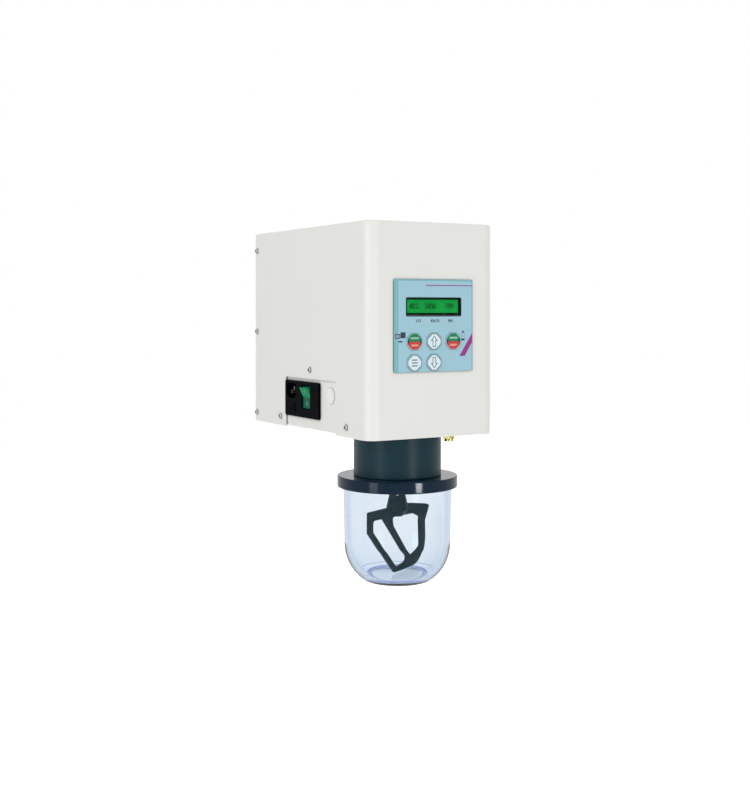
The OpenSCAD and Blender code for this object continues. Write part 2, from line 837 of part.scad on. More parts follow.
// Collar: a cup open downwards, with a web and the seat of the lower bearing
module collar() {
    r = collar_d/2;
    edge = 0.6;
    color(slate) on_axis() difference() {
        rotate_extrude($fn = 128) polygon([[shaft_d/2 + 1.2, base_z], [r, base_z], [r, lid_top + edge],
            [r - edge, lid_top], [chamber_r, lid_top], [chamber_r, web_low], [boss_r, web_low],
            [boss_r, lower_seat], [bearing_r + seat_gap, lower_seat],
            [bearing_r + seat_gap, lower_seat + bearing_h], [shaft_d/2 + 1.2, lower_seat + bearing_h]]);
        rotate_extrude($fn = 96) translate([boss_r, web_low + web_t])
            square([chamber_r - boss_r - 8, base_z - web_low - web_t - 3]);
        translate([port_x, 0, web_low - 1]) cylinder(r = port_r, h = base_z - web_low + 2);
        for (a = collar_bolts) rotate(a) translate([collar_bolt_r, 0, base_z - collar_screw_deep - 1])
            cylinder(d = collar_screw_d + 2*thread_gap, h = collar_screw_deep + 2, $fn = 24);
        rotate_extrude($fn = 96) translate([chamber_r + collar_wall/2 - seal_w/2, lid_top - 1])
            square([seal_w, seal_h + 1]);
    }
}

module collar_seal() {
    color([0.08, 0.08, 0.09]) on_axis() rotate_extrude($fn = 96)
        translate([chamber_r + collar_wall/2 - seal_w/2, lid_top]) square([seal_w, seal_h]);
}

module collar_screws() {
    color(steel) on_axis() for (a = collar_bolts) rotate(a) translate([collar_bolt_r, 0, floor_z]) {
        difference() {
            cylinder(d = collar_head_d, h = collar_head_h, $fn = 32);
            translate([0, 0, collar_head_h/2]) cylinder(d = collar_key_d, h = collar_head_h, $fn = 6);
        }
        translate([0, 0, -base_t - collar_screw_deep])
            cylinder(d = collar_screw_d, h = base_t + collar_screw_deep + 0.1, $fn = 24);
    }
}

// Ball bearing: two rings with the shields between them
module ball_bearing(low) {
    rotate_extrude() difference() {
        translate([shaft_d/2 + run_gap, low]) square([bearing_r - shaft_d/2 - run_gap, bearing_h]);
        for (z = [low - 1, low + bearing_h - 0.6])
            translate([shaft_d/2 + 2.6, z]) square([bearing_r - shaft_d/2 - 5.2, 1.6]);
    }
}

module lower_bearing() {
    color(steel) on_axis() ball_bearing(lower_seat);
}

module upper_bearing() {
    color(steel) on_axis() ball_bearing(plate_low - seat_rim);
}

// Places of the four motor screws round the motor's axis, and of the four posts
module motor_bolts(height) {
    for (a = [45:90:315])
        translate([0, motor_y, height]) rotate(a) translate([motor_bolt_r, 0, 0]) children();
}

module post_spots(height) {
    for (x = [-1, 1], y = [post_front, post_rear]) translate([x*post_x, y, height]) children();
}

module gear_plate() {
    seat = plate_low - seat_rim;
    color(steel) on_axis() difference() {
        union() {
            translate([0, (post_front + post_rear)/2, plate_low]) linear_extrude(plate_t)
                rounded(plate_w, post_rear - post_front + 2*plate_edge, plate_edge - 1);
            translate([0, 0, seat]) cylinder(r = boss_r, h = seat_rim + 1);
        }
        translate([0, 0, seat - 1]) cylinder(r = bearing_r + seat_gap, h = bearing_h + 1);
        translate([0, 0, seat - 1]) cylinder(r = shaft_d/2 + 3, h = plate_t + bearing_h);
        translate([0, motor_y, plate_low - 1])
            cylinder(r = pinion_rp + addendum + 1.5, h = plate_t + 2);
        post_spots(plate_low - 1) cylinder(d = post_screw_d + 2*thread_gap, h = plate_t + 2, $fn = 24);
        motor_bolts(plate_low - 1) cylinder(d = motor_screw_d + 2*thread_gap, h = plate_t + 2, $fn = 24);
    }
}

// Four spacers between the bottom plate and the gear plate, each with its screw
module gear_posts() {
    top = plate_low + plate_t;
    color(steel) on_axis() post_spots(floor_z) {
        cylinder(d = post_d, h = plate_low - floor_z, $fn = 32);
        cylinder(d = post_screw_d, h = top - floor_z + 0.1, $fn = 24);
        translate([0, 0, top - floor_z]) cylinder(d = post_d - 2, h = post_d*0.4, $fn = 6);
    }
}

// Mixing motor: can with vent slots, shouldered rear cover and bearing cap
module mixing_motor() {
    color([0.30, 0.31, 0.33]) on_axis() difference() {
        translate([0, motor_y, motor_low]) {
            cylinder(d = motor_d, h = motor_l, $fn = 96);
            translate([0, 0, motor_l]) cylinder(d1 = motor_d - 4, d2 = motor_d - 16, h = cover_h);
            translate([0, 0, motor_l + cover_h]) cylinder(d = motor_d*0.36, h = cover_h + 1);
        }
        translate([0, motor_y, motor_low - 1])
            cylinder(r = motor_shaft_d/2 + run_gap, h = motor_l*0.6);
        for (a = [0:30:330]) translate([0, motor_y, motor_low + motor_l - slot_h - 8]) rotate(a)
            translate([motor_d/2 - 2, -slot_w/2, 0]) cube([4, slot_w, slot_h]);
        motor_bolts(motor_low - 1)
            cylinder(d = motor_screw_d + 2*thread_gap, h = motor_screw_l, $fn = 24);
    }
}

module motor_screws() {
    head = 0.6*motor_screw_d;
    color(steel) on_axis() {
        motor_bolts(plate_low - head) cylinder(d = 1.75*motor_screw_d, h = head, $fn = 32);
        motor_bolts(plate_low - 0.1)
            cylinder(d = motor_screw_d, h = plate_t + motor_screw_l - 2, $fn = 24);
    }
}

// Point of an involute at radius r, turned by a, for the base radius rb
function roll(r, rb) = sqrt(max(0, pow(r/rb, 2) - 1))*180/PI - acos(min(1, rb/r));
function flank(r, rb, rp, half_tooth) = half_tooth + roll(rp, rb) - roll(max(r, rb), rb);
function polar(r, a) = [r*cos(a), r*sin(a)];

// Spur gear outline: involute flanks with a little play between the teeth
module gear_shape(teeth, start) {
    rp = gear_m*teeth/2;
    rb = rp*cos(20);
    ra = rp + addendum;
    rf = rp - dedendum;
    half_tooth = 90/teeth - backlash/2/rp*90/PI;
    steps = [rf, max(rb, rf + 0.2), (rp + max(rb, rf))/2, rp, (rp + ra)/2, ra];
    polygon([for (i = [0:teeth - 1]) let (c = start + i*360/teeth) each concat(
        [for (r = steps) polar(r, c - flank(r, rb, rp, half_tooth))],
        [for (k = [5:-1:0]) polar(steps[k], c + flank(steps[k], rb, rp, half_tooth))])]);
}

module motor_pinion() {
    color(steel) on_axis() translate([0, motor_y, 0]) {
        translate([0, 0, gear_low - 1]) linear_extrude(gear_b + 2)
            gear_shape(pinion_z, -90 + 180/pinion_z);
        translate([0, 0, gear_low + gear_b + 1]) cylinder(r = 6, h = 2);
        translate([0, 0, gear_low + gear_b]) cylinder(d = motor_shaft_d, h = motor_low - gear_low + 20);
    }
}

module drive_shaft() {
    color(steel) on_axis() {
        translate([0, 0, shaft_low]) cylinder(d = shaft_d, h = plate_low + plate_t + 6 - shaft_low);
        translate([0, 0, plate_low + plate_t + 0.3]) cylinder(d = shaft_d + 5, h = 1.2);
    }
}

module drive_gear() {
    color([0.85, 0.80, 0.66]) on_axis() translate([0, 0, gear_low]) difference() {
        union() {
            linear_extrude(gear_b) gear_shape(gear_z, 90);
            translate([0, 0, -5]) cylinder(r = 11, h = gear_b + 8);
        }
        translate([0, 0, -6]) cylinder(r = shaft_d/2 + seat_gap, h = gear_b + 16);
        for (a = [30:60:330]) rotate(a) translate([gear_rp*0.6, 0, -1]) cylinder(r = 5.5, h = gear_b + 2);
    }
}

// Coupling cup on the drive shaft, with a hexagonal socket open downwards
module drive_socket() {
    color(steel) on_axis() difference() {
        translate([0, 0, socket_low]) cylinder(r = 9, h = socket_top - socket_low);
        translate([0, 0, socket_low - 1])
            cylinder(r = (hex_af/2 + slide_gap)/cos(30), h = shaft_low - socket_low, $fn = 6);
        translate([0, 0, shaft_low]) cylinder(r = shaft_d/2 + seat_gap, h = 5);
        translate([0, 0, socket_low - 0.1]) cylinder(d1 = 12.5, d2 = 8, h = 2.5);
    }
}

// Block of the pump, centred on the pump across the width
module pump_block(width, low, high, inset) {
    translate([pump_x - width/2, pump_y - pump_l + inset, low])
        cube([width, pump_l - 2*inset, high - low]);
}

// Diaphragm pump: round crankcase, cylinder, valve head, cover and two hose nipples
module vacuum_pump() {
    head_z = pump_z + pump_case_h;
    cap_z = head_z + pump_head_t + cap_joint;
    color([0.22, 0.24, 0.27]) from_edge() {
        translate([pump_x, pump_y, pump_z]) rotate([90, 0, 0]) cylinder(d = pump_w, h = pump_l);
        pump_block(pump_case_w, pump_z, head_z + 0.1, 0);
        pump_block(pump_head_w, head_z, head_z + pump_head_t, 0);
        pump_block(pump_head_w - 4, head_z + pump_head_t - 0.1, cap_z + 0.1, 2);
        pump_block(pump_head_w + 4, cap_z, cap_z + pump_cap_t, 0);
        for (x = [suction_x, outlet_x]) translate([x, pump_y - pump_l + 0.1, nipple_z])
            rotate([90, 0, 0]) cylinder(r = nipple_r, h = nipple_l);
    }
}

module pump_motor() {
    color([0.6, 0.62, 0.64]) from_edge() translate([pump_x, pump_y, pump_z]) rotate([-90, 0, 0]) {
        cylinder(d = pump_motor_d, h = pump_motor_l);
        cylinder(d = pump_hub_d, h = pump_motor_l + pump_hub_l);
    }
}

// Rubber foot with a trough for the round body that it carries
module pump_foot(y, body_d) {
    top = pump_z - pump_w/2 + foot_rise;
    difference() {
        translate([pump_x - foot_w/2, y, floor_z]) cube([foot_w, foot_l, top - floor_z]);
        translate([pump_x, y - 1, pump_z]) rotate([-90, 0, 0])
            cylinder(r = body_d/2 + foot_gap, h = foot_l + 2);
    }
}

module pump_feet() {
    color([0.07, 0.07, 0.08]) from_edge() {
        pump_foot(pump_y - pump_l + (pump_l - foot_l)/2, pump_w);
        pump_foot(pump_y + pump_motor_l/2, pump_motor_d);
    }
}

// Elbow that leads the suction from the collar's chamber to its hose
module vacuum_elbow() {
    bend = 6;
    stem_r = nipple_r + elbow_wall;
    bore_r = nipple_r - nipple_wall;
    color(brass) on_axis() difference() {
        union() {
            translate([port_x, 0, web_low + 1]) cylinder(r = stem_r, h = elbow_z - bend - web_low - 1);
            translate([port_x, 0, floor_z]) cylinder(d = fitting_af, h = 3, $fn = 6);
            translate([port_x + bend, 0, elbow_z - bend]) rotate([90, 0, 0])
                rotate_extrude(angle = 90, start = 90) translate([bend, 0]) circle(stem_r);
            translate([port_x + bend, 0, elbow_z]) rotate([0, 90, 0]) cylinder(r = stem_r, h = 3);
            translate([port_x + bend + 2, 0, elbow_z]) rotate([0, 90, 0])
                cylinder(r = nipple_r, h = elbow_tip - port_x - bend - 2);
        }
        translate([port_x, 0, web_low]) cylinder(r = bore_r, h = elbow_z - bend - web_low);
        translate([port_x + bend, 0, elbow_z - bend]) rotate([90, 0, 0])
            rotate_extrude(angle = 90, start = 90) translate([bend, 0]) circle(bore_r);
        translate([port_x + bend, 0, elbow_z]) rotate([0, 90, 0])
            cylinder(r = bore_r, h = elbow_tip - port_x);
    }
}

// Smooth curve through a list of points
function spline(p, i, t) = let (
    a = p[max(0, i - 1)], b = p[i], c = p[i + 1], d = p[min(len(p) - 1, i + 2)])
    0.5*(2*b + (c - a)*t + (2*a - 5*b + 4*c - d)*t*t + (3*b - a - 3*c + d)*t*t*t);
function curve(p, n) = [for (i = [0:len(p) - 2], k = [0:n - 1]) spline(p, i, k/n), p[len(p) - 1]];
function unit(v) = v/norm(v);
function along(p, i) = unit(p[min(len(p) - 1, i + 1)] - p[max(0, i - 1)]);

// Frames carried along the curve, so that the sides don't twist
function carry(p, u0, i = 0) = i >= len(p) ? [] : let (
    t = along(p, i), u = unit(u0 - (u0*t)*t))
    concat([[u, cross(t, u)]], carry(p, u, i + 1));

// Hose with its bore, swept along a route
module hose(route, start_up) {
    sides = 8;
    p = curve(route, 3);
    f = carry(p, start_up);
    ring = sides*2;
    bore_r = (hose_bore/2 + hose_ease)/cos(180/sides);
    pts = [for (i = [0:len(p) - 1], r = [hose_d/2, bore_r], k = [0:sides - 1])
        p[i] + r*(cos(k*360/sides)*f[i][0] + sin(k*360/sides)*f[i][1])];
    last = (len(p) - 1)*ring;
    polyhedron(pts, concat(
        [for (i = [0:len(p) - 2], k = [0:sides - 1]) let (n = (k + 1) % sides, o = i*ring)
            each [[o + k, o + ring + k, o + n], [o + n, o + ring + k, o + ring + n]]],
        [for (i = [0:len(p) - 2], k = [0:sides - 1]) let (n = (k + 1) % sides, o = i*ring + sides)
            each [[o + k, o + n, o + ring + k], [o + n, o + ring + n, o + ring + k]]],
        [for (k = [0:sides - 1]) let (n = (k + 1) % sides)
            each [[k, n, sides + k], [n, sides + n, sides + k]]],
        [for (k = [0:sides - 1]) let (n = (k + 1) % sides)
            each [[last + k, last + sides + k, last + n],
                [last + n, last + sides + k, last + sides + n]]]));
}

module vacuum_hose() {
    color([0.75, 0.78, 0.80]) from_edge() hose(vacuum_route, [0, 0, 1]);
}

module outlet_hose() {
    color([0.75, 0.78, 0.80]) from_edge() hose(outlet_route, [1, 0, 0]);
}

// Brass hose fitting: hexagon and short spigot below the plate, nipple above it
module hose_fitting() {
    bore_r = nipple_r - nipple_wall;
    color(brass) from_edge() translate([fitting_x, fitting_y, 0]) difference() {
        union() {
            translate([0, 0, base_z - fitting_hex_h])
                cylinder(d = fitting_af/cos(30), h = fitting_hex_h, $fn = 6);
            translate([0, 0, fitting_low]) cylinder(d = spigot_d, h = spigot_l + 1);
            translate([0, 0, base_z - 0.1]) cylinder(d = stem_d, h = base_t + nut_t + 3);
            translate([0, 0, base_z + base_t]) cylinder(r = nipple_r, h = nut_t + nipple_l + 7);
        }
        translate([0, 0, fitting_low - 1]) cylinder(r = bore_r, h = 50);
        translate([0, 0, fitting_low - 0.1]) cylinder(r1 = bore_r + 1.6, r2 = bore_r + 0.9, h = 1.2);
    }
}

module fitting_nut() {
    color(brass) from_edge() translate([fitting_x, fitting_y, floor_z]) difference() {
        cylinder(d = nut_af/cos(30), h = nut_t, $fn = 6);
        translate([0, 0, -1]) cylinder(d = stem_d + 2*thread_gap, h = nut_t + 2);
    }
}

// Mains transformer: laminated core and two-chamber winding on the back plate
module mains_transformer() {
    color([0.35, 0.33, 0.32]) from_edge() translate([0, -back_t, wall_z]) {
        for (x = [-1, 1]) {
            translate([x*(core_w/2 + tab_l/2 - 1) - tab_l/2, -tab_t, -tab_w/2])
                cube([tab_l, tab_t, tab_w]);
            translate([x*(core_w/2 - tab_t/2) - tab_t/2, -coil_out - 4, -tab_w/2])
                cube([tab_t, coil_out + 4, tab_w]);
        }
        translate([-core_w/2, -coil_out - 2 - core_t, -core_h/2]) cube([core_w, core_t, core_h]);
        translate([-core_w/2 + core_leg, -2*coil_out - 2 - core_t, -core_h/2 + core_leg - 2])
            cube([core_w - 2*core_leg, core_t + 2*coil_out, core_h - 2*core_leg + 4]);
    }
}

// Lid: disc with a spigot for the collar above and the bowl's groove below
module lid() {
    r = lid_d/2;
    edge = 0.8;
    groove_in = bowl_r - bowl_wall - 0.8 - slide_gap;
    color(slate) on_axis() difference() {
        rotate_extrude($fn = 128) polygon([[bush_r, lid_top], [spigot_r - 6, lid_top],
            [spigot_r - 6, lid_top + spigot_h], [spigot_r - 1, lid_top + spigot_h],
            [spigot_r, lid_top + spigot_h - 1], [spigot_r, lid_top],
            [r - edge, lid_top], [r, lid_top - edge],
            [r, lid_low + edge], [r - edge, lid_low], [groove_r, lid_low], [groove_r, groove_top],
            [groove_in, groove_top], [groove_in, lid_low],
            [seal_r, lid_low], [seal_r, lid_low + seal_seat], [bush_r, lid_low + seal_seat]]);
        rotate_extrude($fn = 96) translate([filter_r, lid_low - 1]) square([filter_w, filter_deep + 1]);
        for (a = [0:60:300]) rotate(a) translate([suction_hole_r, 0, lid_low])
            cylinder(r = 2, h = lid_t + 1, $fn = 24);
    }
}

module lid_gasket() {
    groove_in = bowl_r - bowl_wall - 0.8 - slide_gap;
    color([0.85, 0.85, 0.83]) on_axis() rotate_extrude($fn = 96)
        translate([groove_in, rim_z]) square([groove_r - groove_in, gasket_t]);
}

module lid_filter() {
    color([0.88, 0.87, 0.82]) on_axis() rotate_extrude($fn = 96)
        translate([filter_r + 0.2, lid_low + 0.4]) square([filter_w - 0.4, filter_deep - 0.4]);
}

module shaft_bush() {
    color(brass) on_axis() rotate_extrude()
        translate([paddle_shaft_d/2 + run_gap, lid_low + seal_seat])
            square([bush_r - paddle_shaft_d/2 - run_gap, lid_t - seal_seat + 1]);
}

module shaft_seal() {
    color([0.08, 0.08, 0.09]) on_axis() rotate_extrude()
        translate([paddle_shaft_d/2 + run_gap, lid_low + 0.5])
            square([seal_r - paddle_shaft_d/2 - run_gap, seal_seat - 0.5]);
}

// Bowl: conical wall, one large rounded corner and a thick flat floor
module bowl() {
    rim_r = 0.8;
    color([0.85, 0.92, 0.98, 0.35]) on_axis() rotate_extrude($fn = 128) polygon(concat(
        [[0, bowl_low + 0.8], [foot_r - 7, bowl_low + 0.8], [foot_r - 6, bowl_low],
            [foot_r - 0.6, bowl_low]],
        [for (a = [-58:4:-2]) if (corner_z + bowl_round*sin(a) > bowl_low + 0.5)
            [corner_x + bowl_round*cos(a), corner_z + bowl_round*sin(a)]],
        [[bowl_r - draft, corner_z], [bowl_r, lid_low], [bowl_r, rim_z - rim_r], [bowl_r - rim_r, rim_z],
            [bowl_r - bowl_wall + rim_r, rim_z], [bowl_r - bowl_wall, rim_z - rim_r],
            [bowl_r - bowl_wall, lid_low], [inner_c + inner_round, inner_corner_z]],
        [for (a = [-2:-4:-58]) if (inner_corner_z + inner_round*sin(a) > floor_top + 1.2)
            [inner_c + inner_round*cos(a), inner_corner_z + inner_round*sin(a)]],
        [[inner_foot - 1.5, floor_top + 0.4], [inner_foot - 3.5, floor_top], [0, floor_top]]));
}

// Paddle's shaft: round in the bush, hexagonal in the drive's socket, with the clip's groove
module paddle_shaft() {
    low = pin_z - shaft_in_hub;
    color(steel) on_axis() difference() {
        union() {
            translate([0, 0, low]) cylinder(d = paddle_shaft_d, h = lid_top + 3 - low);
            translate([0, 0, lid_top + 2])
                cylinder(r = hex_af/2/cos(30), h = hex_top - lid_top - 2, $fn = 6);
        }
        rotate_extrude() translate([paddle_shaft_d/2 - clip_groove, clip_z - run_gap])
            square([2, clip_t + 2*run_gap]);
    }
}

// Open retaining ring in the shaft's groove, just above the lid
module shaft_clip() {
    color(steel) on_axis() translate([0, 0, clip_z]) difference() {
        cylinder(r = clip_r, h = clip_t);
        translate([0, 0, -1]) cylinder(r = paddle_shaft_d/2 - clip_groove + run_gap, h = 3);
        translate([3, -1.5, -1]) cube([6, 3, 3]);
    }
}

// Outline of the blade with its slanted lower left side and swept lower right
module blade_outline() {
    polygon(concat([[-half, left_low], [-half, blade_top - 0.6], [-half + 1.4, blade_top + 0.6],
        [-hub_low_r, blade_top + 1.8], [hub_low_r, blade_top + 3.5], [half - 5, blade_top - 0.4],
        [half - 2, blade_top - 1.6], [half - 1, blade_top - 4]],
        [for (a = [0:-8:-80]) [half - sweep_w + sweep_w*cos(a), blade_low + sweep_h*(1 + sin(a)) + 1]],
        [[tip_right, blade_low], [tip_left, blade_low]]));
}

// Rounded window from its corners: discs hulled together
module window_shape(corners) {
    hull() for (c = corners) translate([c[0], c[1]]) circle(c[2], $fn = 32);
}

module blade_windows() {
    r = 3.4;
    top = blade_top - bar;
    window_shape([[-half + side_bar + r, top - r + 1, r], [-half + side_bar + r, left_low + 1.9, r],
        [-1.4, blade_low + 8.5, r], [10, blade_low + 12.5, r + 1.3], [-27.5, top - r + 1, r]]);
    window_shape([[-6.5, top - r + 1.5, r - 0.6], [26.5, top - r + 0.5, r],
        [half - bar - 4.2, fin_low + 3, r], [half - bar - 4.6, blade_low + 27, 5],
        [24, blade_low + 18, 4], [-5.5, top - 7.5, r - 0.4]]);
}

// Distance of the fin's middle face from the blade's plane
function fin_bend(s, z) = let (
    u = (s - fin_from)/(half - fin_from), v = (z - fin_low)/(blade_top - fin_low))
    -fin_out*pow(max(0, u), 1.6)*min(1, max(0, v));

// Two triangles over a quadrilateral of point numbers
function quad(a, b, c, d) = [[a, b, d], [b, c, d]];

// Curved fin: a slab whose middle face leaves the blade's plane towards its corner
module fin_slab() {
    s0 = fin_from;
    s1 = half + 4;
    z0 = fin_low;
    z1 = blade_top + 5;
    n = fin_rows;
    side = n + 1;
    face = side*side;
    grid = [for (t = [-0.5, 0.5], i = [0:n], j = [0:n])
        let (s = s0 + (s1 - s0)*i/n, z = z0 + (z1 - z0)*j/n) [s, fin_bend(s, z) + t*blade_t, z]];
    polyhedron(grid, concat(
        [for (i = [0:n - 1], j = [0:n - 1]) let (o = i*side + j)
            each quad(o, o + 1, o + side + 1, o + side)],
        [for (i = [0:n - 1], j = [0:n - 1]) let (o = face + i*side + j)
            each quad(o, o + side, o + side + 1, o + 1)],
        [for (i = [0:n - 1]) let (o = i*side) each quad(o, o + side, face + o + side, face + o)],
        [for (i = [0:n - 1]) let (o = i*side + n) each quad(o, face + o, face + o + side, o + side)],
        [for (j = [0:n - 1]) each quad(j, face + j, face + j + 1, j + 1)],
        [for (j = [0:n - 1]) let (o = n*side + j) each quad(o, o + 1, face + o + 1, face + o)]));
}

module mixing_paddle() {
    color(slate) on_axis() rotate(blade_angle) difference() {
        union() {
            difference() {
                rotate([90, 0, 0]) linear_extrude(blade_t, center = true) difference() {
                    blade_outline();
                    blade_windows();
                }
                translate([fin_from, -10, fin_low]) cube([half, 20, 40]);
            }
            intersection() {
                fin_slab();
                rotate([90, 0, 0]) linear_extrude(40, center = true) difference() {
                    blade_outline();
                    blade_windows();
                }
            }
            rotate_extrude() polygon([[0, hub_top], [hub_r - 0.8, hub_top], [hub_r, hub_top - 0.8],
                [hub_low_r, blade_top + 1], [hub_low_r, blade_top - 2], [6, blade_top - bar + 1],
                [0, blade_top - bar + 1]]);
        }
        translate([0, 0, pin_z - shaft_in_hub - 0.2]) cylinder(r = paddle_shaft_d/2 + seat_gap, h = 40);
        rotate(pin_angle - blade_angle) translate([-12, -pin_r - 0.6, pin_z])
            cube([24, 2*pin_r + 1.2, 20]);
        rotate(pin_angle - blade_angle) translate([0, 0, pin_z]) rotate([0, 90, 0])
            cylinder(r = pin_r + 0.6, h = 26, center = true, $fn = 32);
    }
}

// Pin across the shaft: it sits in the hub's two slots and turns the paddle
module paddle_pin() {
    color([0.9, 0.9, 0.9]) on_axis() rotate(pin_angle) translate([0, 0, pin_z]) rotate([0, 90, 0])
        difference() {
            cylinder(r = pin_r, h = pin_l, center = true, $fn = 32);
            cylinder(r = pin_r + 1, h = paddle_shaft_d, center = true, $fn = 32);
        }
}

hood();
back_plate();
bottom_plate();
hood_screws();
power_module();
inlet_pins();
power_rocker();
fuse_drawer();
fuses();
blanking_plug();
earth_stud();
panel_foil();
panel_overlay();
key_domes();
display_window();
display_bezel();
display_glass();
display_board();
display_pillars();
control_board();
board_standoffs();
key_start_left();
key_up();
key_start_right();
key_function();
key_down();
collar();
collar_screws();
collar_seal();
lower_bearing();
upper_bearing();
gear_plate();
gear_posts();
mixing_motor();
motor_screws();
motor_pinion();
drive_shaft();
drive_gear();
drive_socket();
vacuum_pump();
pump_motor();
pump_feet();
vacuum_elbow();
vacuum_hose();
outlet_hose();
hose_fitting();
fitting_nut();
mains_transformer();
lid();
lid_gasket();
lid_filter();
shaft_bush();
shaft_seal();
paddle_shaft();
shaft_clip();
mixing_paddle();
paddle_pin();
bowl();
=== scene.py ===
"""Wall-hung vacuum mixer: finishes, prints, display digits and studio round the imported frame."""
import json
import math

import bpy
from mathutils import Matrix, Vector


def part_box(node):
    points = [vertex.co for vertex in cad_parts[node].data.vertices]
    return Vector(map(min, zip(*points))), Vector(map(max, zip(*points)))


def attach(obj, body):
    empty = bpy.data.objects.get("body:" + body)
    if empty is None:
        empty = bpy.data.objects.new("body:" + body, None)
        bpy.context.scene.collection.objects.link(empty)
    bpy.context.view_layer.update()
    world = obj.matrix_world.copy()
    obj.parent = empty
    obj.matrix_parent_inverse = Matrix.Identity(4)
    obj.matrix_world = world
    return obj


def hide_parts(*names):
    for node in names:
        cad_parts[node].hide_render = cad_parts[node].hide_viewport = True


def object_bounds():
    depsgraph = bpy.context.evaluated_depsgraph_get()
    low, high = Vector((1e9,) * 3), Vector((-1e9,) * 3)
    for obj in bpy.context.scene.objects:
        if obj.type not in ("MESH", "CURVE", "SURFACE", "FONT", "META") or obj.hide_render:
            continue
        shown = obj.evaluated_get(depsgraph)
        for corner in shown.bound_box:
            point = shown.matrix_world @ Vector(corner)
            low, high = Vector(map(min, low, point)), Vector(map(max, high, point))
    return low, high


MM = 0.001

# The camera stands level, in front of the part and to its left
CAMERA_AT = (-0.6729, -1.3208, 0.0212)
CAMERA_TURN = math.radians(-29.95)
CAMERA_LENS = 53.48
CAMERA_SHIFT = -0.113

# Levels of light: a diffuse surface that faces the lamps renders about as its colour is written
WORLD_LEVEL = 0.62
LAMPS = [
    # name, place, width, height, power in watts
    ("front_softbox", (0.22, -1.73, 0.30), 0.2, 1.0, 1.9),
    ("front_low_softbox", (0.25, -1.73, -0.37), 0.3, 0.09, 3.6),
    ("left_softbox", (-1.66, -0.62, 0.2), 0.5, 1.36, 9.0),
    ("top_softbox", (0.3, -0.8, 1.5), 1.0, 1.0, 3.0),
]
AIM = Vector((0, -0.14, -0.05))

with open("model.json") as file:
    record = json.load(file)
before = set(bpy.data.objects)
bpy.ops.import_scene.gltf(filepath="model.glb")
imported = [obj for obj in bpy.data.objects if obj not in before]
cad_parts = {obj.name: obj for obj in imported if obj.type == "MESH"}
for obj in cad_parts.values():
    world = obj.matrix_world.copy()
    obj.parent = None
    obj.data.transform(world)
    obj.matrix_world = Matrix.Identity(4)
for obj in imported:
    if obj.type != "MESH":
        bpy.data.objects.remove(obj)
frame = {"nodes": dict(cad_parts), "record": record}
cad_low, cad_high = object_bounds()


def srgb(red, green, blue):
    """Linear colour of a colour picked from 0 to 255."""
    def linear(v):
        v /= 255
        return v / 12.92 if v <= 0.04045 else ((v + 0.055) / 1.055) ** 2.4
    return (linear(red), linear(green), linear(blue), 1.0)


# Colours that the photograph shows
ENAMEL = srgb(231, 231, 227)
COLLAR = srgb(22, 52, 62)
LID = srgb(0, 30, 50)
PADDLE = srgb(4, 28, 32)
BOWL_CLEAR = srgb(250, 252, 255)
BLACK = srgb(4, 8, 11)
PANEL = srgb(158, 199, 213)
PANEL_EDGE = srgb(122, 182, 192)
MAGENTA = srgb(146, 46, 134)
INK = srgb(34, 52, 70)
KEY_WHITE = srgb(222, 234, 240)
KEY_LINE = srgb(78, 114, 128)
KEY_GREEN = srgb(24, 124, 84)
KEY_RED = srgb(196, 66, 60)
KEY_SIDE = srgb(18, 34, 34)
GREEN_BAR = srgb(146, 200, 176)
RED_BAR = srgb(232, 158, 138)
LCD_GREEN = srgb(10, 140, 56)
LCD_DARK = srgb(0, 14, 6)


# Clear acrylic of the bowl: how it bends light, and what a metre of it takes away
BOWL_IOR = 1.32
BOWL_TINT = (0.0, 0.35, 0.65, 1)
BOWL_DENSITY = 28.0
# Painted shade where the wall turns away from the eye, and painted rings of shade on its foot and in the
# floor's corner
BOWL_EDGE_SHADE = srgb(190, 202, 230)
BOWL_RING_SHADE = srgb(140, 150, 206)

# Bowl's wall, floor, lower corner and rim in millimetres, as the source has them
BOWL_WALL, BOWL_FLOOR, BOWL_DRAFT = 3.5, 5.0, 1.3
BOWL_ROUND, BOWL_CORNER, BOWL_RIM = 47.0, 40.0, 0.8


